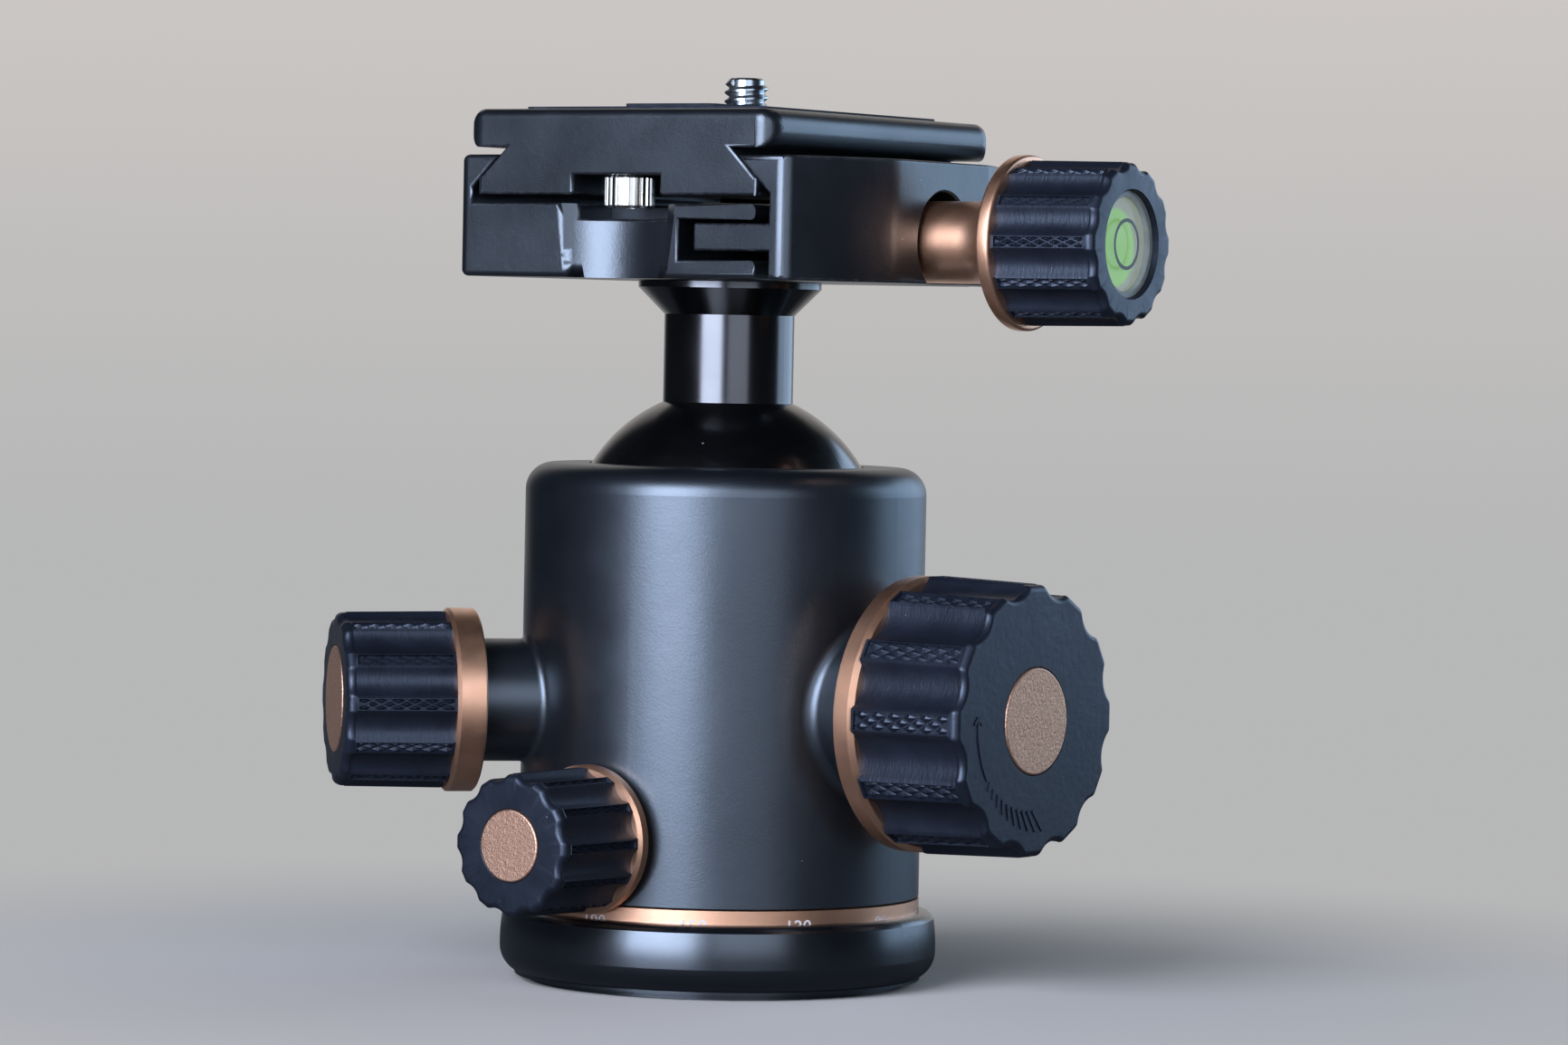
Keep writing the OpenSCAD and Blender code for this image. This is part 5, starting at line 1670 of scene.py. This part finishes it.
@dataclass(frozen=True)
class CameraPlate:
    """The quick plate, its pad and its screws. Lengths are in millimetres.

    Args:
        slab: How the plate's edges are rounded.
        island_top: Height of the pad's raised island in the solids.
        island_raise: How much higher the island is made.
        near: Distance that counts as none.
        fill: How full the pad is, for its softness; not used.
        stop: The stop screws.
        screw: The camera screw.
    """

    slab: Rounding = Rounding(
        width=0.45, block=Block(
            half=(25.5, 30.0), low=CLAMP_Z + 18.1, high=CLAMP_Z + 23.5, plan=2.8, side=2.5,
            end_top=1.4, end_bottom=0.0,
        ),
    )
    island_top: float = CLAMP_Z + 24.4
    island_raise: float = 0.3
    near: float = 0.05
    fill: float = 0.9
    stop: StopScrew = StopScrew()
    screw: CameraScrew = CameraScrew()

    def pad(self) -> Mesh:
        """Makes the pad, with its island a little thicker.

        Returns:
            The pad's mesh.
        """
        bm = copied("plate_pad")
        for vert in bm.verts:
            if vert.co.z > self.island_top - self.near:
                vert.co.z += self.island_raise
        return bm

    def build(self, paints: Paintbox) -> None:
        """Makes the plate, the pad and the screws.

        Args:
            paints: The finishes.
        """
        plate = self.slab.softened("quick_plate")
        paints.put(plate, "plate_casting", "plate", POWDER_PAINT, "quick_plate", even=True)
        pad = paints.put(self.pad(), "pad_sheet", "plate", PAD, "plate_pad")
        for side, name in ((-1, "stop_screw_near"), (1, "stop_screw_far")):
            paints.put(self.stop.mesh(side), name, "plate", NICKEL, "stop_screws", sharp=25)
        paints.put(
            self.screw.mesh(), "camera_screw_thread", "camera_screw", ZINC, "camera_screw"
        )
        paints.dress(BEARING, "screw_washer")


@dataclass(frozen=True)
class Level:
    """The round level in the end of the clamp knob. Lengths are in millimetres.

    Args:
        face: Where the lens ends along the knob's axis.
        circle: Inner radius of the printed circle.
        line: Width of its line.
        ink: Thickness of the ink.
    """

    face: float = 64.4
    circle: float = 3.05
    line: float = 0.5
    ink: float = 0.03

    def build(self, paints: Paintbox) -> None:
        """Dresses the vial and adds the circle.

        Args:
            paints: The finishes.
        """
        paints.dress(VIAL_CUP, "vial_cup")
        paints.dress(LEVEL_LIQUID, "vial_liquid")
        paints.dress(LEVEL_LENS, "vial_lens")
        outer, top = self.circle + self.line, self.face + self.ink
        ring = turned([
            (self.circle, self.face), (outer, self.face), (outer, top), (self.circle, top),
        ])
        paints.put(ring, "level_circle", "clamp_knob", BLACK_INK, place=on_axis(0, KNOB_Z))


@dataclass(frozen=True)
class CopperParts:
    """The knobs' copper parts. Lengths are in millimetres, along the clamp knob's axis.

    Args:
        start: Where the ferrule's neck starts.
        neck: Radius of the neck.
        neck_end: Where the neck starts to flare.
        ring_back: Where the ring starts.
        ring_front: Where the ring ends.
        ring: Radius of the ring.
        ring_edge: Rounding of its edges.
        core: Radius of the core under the grip.
        core_end: Where the core ends.
        bore: Radius of the bore for the screw.
        bore_end: Where the bore ends.
        flare_steps: Steps of the flare.
        edge_steps: Steps of a rounded edge.
    """

    start: float = 31.3
    neck: float = 5.75
    neck_end: float = 40.8
    ring_back: float = 47.4
    ring_front: float = 49.4
    ring: float = 12.2
    ring_edge: float = 0.45
    core: float = 9.15
    core_end: float = 59.6
    bore: float = 3.05
    bore_end: float = 57.6
    flare_steps: int = 16
    edge_steps: int = 5

    def ferrule(self) -> Mesh:
        """Makes the clamp knob's ferrule, a plain neck that flares to the ring.

        Returns:
            The ferrule's mesh.
        """
        flare, rise = self.ring_back - self.neck_end, self.ring - 2 * self.ring_edge - self.neck
        horn = [
            (self.neck + rise * (1 - math.cos(a)), self.neck_end + flare * math.sin(a))
            for a in quarter(self.flare_steps)
        ]
        edge, round_on = self.ring_edge, quarter(self.edge_steps)
        rim = [
            (self.ring - edge + edge * math.sin(a), middle + way * edge * math.cos(a))
            for way, middle, angles in (
                (-1, self.ring_back + edge, round_on), (1, self.ring_front - edge, round_on[::-1])
            )
            for a in angles
        ]
        tail = [
            (self.core, self.ring_front), (self.core, self.core_end), (0, self.core_end),
            (0, self.bore_end), (self.bore, self.bore_end), (self.bore, self.start),
        ]
        return turned([(self.neck, self.start)] + horn + rim + tail)

    def build(self, paints: Paintbox) -> None:
        """Makes the ferrule and dresses the rings and the cap discs.

        Args:
            paints: The finishes.
        """
        paints.dress(COPPER, "main_ring", "tension_ring", "pan_ring")
        paints.put(
            self.ferrule(), "clamp_ferrule_turned", "clamp_knob", COPPER, "clamp_ferrule",
            place=on_axis(0, KNOB_Z), sharp=50.0,
        )
        paints.dress(PEBBLED_COPPER, "main_cap", "tension_cap", "pan_cap")


# ---------------------------------------------------------------- studio


@dataclass(frozen=True)
class Lamp:
    """One soft lamp. Lengths are in metres, angles in degrees from the camera's side.

    Args:
        name: Name of the lamp.
        aside: Angle to the right of the camera.
        above: Angle above the horizon.
        distance: Distance from the object.
        width: Width of the panel.
        height: Height of the panel.
        level: Radiance of the panel.
        colour: Its colour.
    """

    name: str
    aside: float
    above: float
    distance: float
    width: float
    height: float
    level: float
    colour: Triple


@dataclass(frozen=True)
class Paper:
    """The pale paper of the floor and the backdrop. Lengths are in metres.

    Args:
        name: Name of the material.
        pale: Its tone high up.
        low_pale: Its tone at the floor.
        rise: Heights between which the tone changes.
        body: Colour that the lamps light near the object.
        shaded: Darker colour that other surfaces catch from it, painted shade in their reflections
            and bounce light.
        fibre_scale: Patches of the fibre in a metre.
        fibre_detail: Finer layers of the fibre.
        fibre: The fibre's tone.
        fibre_share: Strength of the fibre.
        near: Distances from the object between which its shadow fades.
        sector: How straight behind the object a place has to be to show in reflections.
        rough: Roughness.
        specular: Specular level.
    """

    name: str = "pale_paper"
    pale: Triple = (0.62, 0.585, 0.565)
    low_pale: Triple = (0.46, 0.465, 0.47)
    rise: Pair = (-0.02, 0.3)
    body: Triple = (0.95, 0.88, 0.78)
    shaded: Triple = (0.14, 0.14, 0.14)
    fibre_scale: float = 9.0
    fibre_detail: float = 3.0
    fibre: Triple = (0.5, 0.5, 0.5)
    fibre_share: float = 0.12
    near: Pair = (0.035, 0.21)
    sector: Pair = (0.85, 0.97)
    rough: float = 0.9
    specular: float = 0.1

    def make(self, back: Vector) -> Material:
        """Builds the paper's material, which keeps the shadow near the object.

        Args:
            back: Direction from the object to the wall behind it.

        Returns:
            The material.
        """
        material = bpy.data.materials.new(self.name)
        sketch = Sketch.of(material)
        place = sketch.place()
        parts = sketch.add("ShaderNodeSeparateXYZ", {0: place}).outputs
        flat = sketch.add("ShaderNodeCombineXYZ", {0: parts[0], 1: parts[1]}).outputs[0]
        far = sketch.spread(sketch.vector("LENGTH", flat), self.near, soft=True)
        fibre = sketch.noise(place, self.fibre_scale, self.fibre_detail)
        tone = sketch.mix(sketch.spread(parts[2], self.rise), self.low_pale, self.pale)
        tint = sketch.mix(sketch.math("MULTIPLY", fibre, self.fibre_share), tone, self.fibre)
        ray = sketch.add("ShaderNodeLightPath").outputs
        seen = ray["Is Camera Ray"]
        ahead = sketch.vector("DOT_PRODUCT", sketch.vector("NORMALIZE", flat), back)
        through = sketch.math("MAXIMUM", ray["Is Glossy Ray"], ray["Is Transmission Ray"])
        behind = sketch.math("MULTIPLY", through, sketch.spread(ahead, self.sector))
        # Painted shade: the camera sees the pale body colour, while reflections and bounce light
        # get the darker shaded colour.
        paper = sketch.add("ShaderNodeBsdfPrincipled", {
            "Base Color": sketch.mix(seen, self.shaded, self.body), "Roughness": self.rough,
            "Specular IOR Level": self.specular,
        })
        glow = sketch.add("ShaderNodeEmission", {"Color": tint, "Strength": 1.0})
        glowing = sketch.math("MULTIPLY", sketch.math("MAXIMUM", seen, behind), far)
        sketch.show(sketch.add(
            "ShaderNodeMixShader", {0: glowing, 1: paper.outputs[0], 2: glow.outputs[0]}
        ))
        return material


@dataclass(frozen=True)
class Studio:
    """The camera, the lamps, the floor and the backdrop. Lengths are in metres.

    Args:
        azimuth: Direction of the camera, in degrees.
        distance: Its distance from the pan axis.
        aside: How far it stands to the right.
        height: Its height.
        pitch: How far it looks down, in degrees.
        roll: How far it is rolled, in degrees.
        lens: Its focal length in millimetres.
        sensor: Width of its sensor in millimetres.
        centre: Height that the lamps look at.
        floor: Height of the floor.
        foot: Radius of the floor's first ring.
        reach: Radius of the backdrop.
        cove: Radius of the sweep from the floor to the wall.
        sweep_steps: Steps of that sweep.
        round_steps: Steps round the floor.
        wall: Height of the wall.
        dim: The room's light.
        paper: The floor's paper.
        lamps: The lamps.
    """

    azimuth: float = 32.0
    distance: float = 0.880
    aside: float = 0.00835
    height: float = 0.0929
    pitch: float = 1.77
    roll: float = 1.12
    lens: float = 141.34
    sensor: float = 36.0
    centre: float = 0.065
    floor: float = -0.00005
    foot: float = 0.4
    reach: float = 2.6
    cove: float = 0.9
    sweep_steps: int = 16
    round_steps: int = 96
    wall: float = 2.2
    dim: Triple = (0.014, 0.015, 0.017)
    paper: Paper = Paper()
    lamps: tuple[Lamp, ...] = (
        Lamp("window", -30, 12, 1.25, width=0.85, height=1.1, level=8.7, colour=(0.83, 0.93, 1.21)),
        Lamp("room", 17, 14, 1.5, width=1.0, height=0.9, level=1.6, colour=(0.84, 0.94, 1.18)),
        Lamp("rim", 125, 8, 1.3, width=1.3, height=0.9, level=1.75, colour=(0.70, 0.96, 1.32)),
    )

    def axes(self) -> tuple[Vector, Vector]:
        """Returns the directions from the object to the camera and to its right."""
        a = math.radians(self.azimuth)
        return Vector((math.sin(a), -math.cos(a), 0)), Vector((math.cos(a), math.sin(a), 0))

    def camera(self) -> None:
        """Sets up the scene's camera."""
        near, right = self.axes()
        pitch, roll = math.radians(self.pitch), math.radians(self.roll)
        forward = -near * math.cos(pitch) - Vector((0, 0, math.sin(pitch)))
        up = right.cross(forward)
        across = right * math.cos(roll) + up * math.sin(roll)
        upward = up * math.cos(roll) - right * math.sin(roll)
        data = bpy.data.cameras.new("camera")
        data.lens, data.sensor_width = self.lens, self.sensor
        camera = bpy.data.objects.new("camera", data)
        turn = Matrix((across, upward, -forward)).transposed().to_4x4()
        spot = near * self.distance + right * self.aside + Vector((0, 0, self.height))
        camera.matrix_world = Matrix.Translation(spot) @ turn
        bpy.context.scene.collection.objects.link(camera)
        bpy.context.scene.camera = camera

    def light(self, lamp: Lamp) -> None:
        """Hangs one lamp, turned to the object.

        Args:
            lamp: The lamp.
        """
        near, right = self.axes()
        aside, above = math.radians(lamp.aside), math.radians(lamp.above)
        out = (near * math.cos(aside) + right * math.sin(aside)) * math.cos(above)
        out += Vector((0, 0, math.sin(above)))
        data = bpy.data.lights.new(lamp.name, "AREA")
        data.shape = "RECTANGLE"
        data.size, data.size_y = lamp.width, lamp.height
        data.energy = lamp.level * math.pi * lamp.width * lamp.height
        data.color = lamp.colour
        panel = bpy.data.objects.new(lamp.name, data)
        panel.location = out * lamp.distance + Vector((0, 0, self.centre))
        panel.rotation_mode = "QUATERNION"
        panel.rotation_quaternion = (-out).to_track_quat("-Z", "Y")
        panel.visible_camera = False
        bpy.context.scene.collection.objects.link(panel)

    def backdrop(self) -> None:
        """Lays the floor, which sweeps up into a round backdrop."""
        flat = self.reach - self.cove
        sweep = [
            (flat + self.cove * math.sin(a), self.floor + self.cove * (1 - math.cos(a)))
            for a in quarter(self.sweep_steps)
        ]
        bm = turned(
            [(0, self.floor), (self.foot, self.floor)] + sweep + [(self.reach, self.wall)],
            self.round_steps, closed=False,
        )
        bmesh.ops.reverse_faces(bm, faces=bm.faces)
        mesh = bpy.data.meshes.new("backdrop")
        bm.to_mesh(mesh)
        bm.free()
        mesh.shade_smooth()
        mesh.materials.append(self.paper.make(-self.axes()[0]))
        floor = bpy.data.objects.new("backdrop", mesh)
        bpy.context.scene.collection.objects.link(floor)

    def world(self) -> None:
        """Fills the room with a weak even light and pale air for the camera."""
        world = bpy.data.worlds.new("room")
        sketch = Sketch.of(world)
        seen = sketch.add("ShaderNodeLightPath").outputs["Is Camera Ray"]
        colour = sketch.mix(seen, self.dim, self.paper.pale)
        air = sketch.add("ShaderNodeBackground", {"Color": colour, "Strength": 1.0})
        sketch.show(air, "ShaderNodeOutputWorld")
        bpy.context.scene.world = world

    def build(self) -> None:
        """Sets up everything round the object."""
        self.camera()
        self.world()
        self.backdrop()
        for lamp in self.lamps:
            self.light(lamp)
        bpy.context.scene.view_settings.view_transform = "Standard"
        LOG.info("studio: %d lamps", len(self.lamps))


def main() -> None:
    """Builds every sub-assembly and the studio, in order."""
    paints = Paintbox()
    for assembly in (Foot(), Body(), CopperParts(), *KNOBS, Clamp(), CameraPlate(), Level()):
        assembly.build(paints)
    Studio().build()


if __name__ == "__main__":
    logging.basicConfig(level=logging.INFO, format="%(name)s %(message)s")
    main()
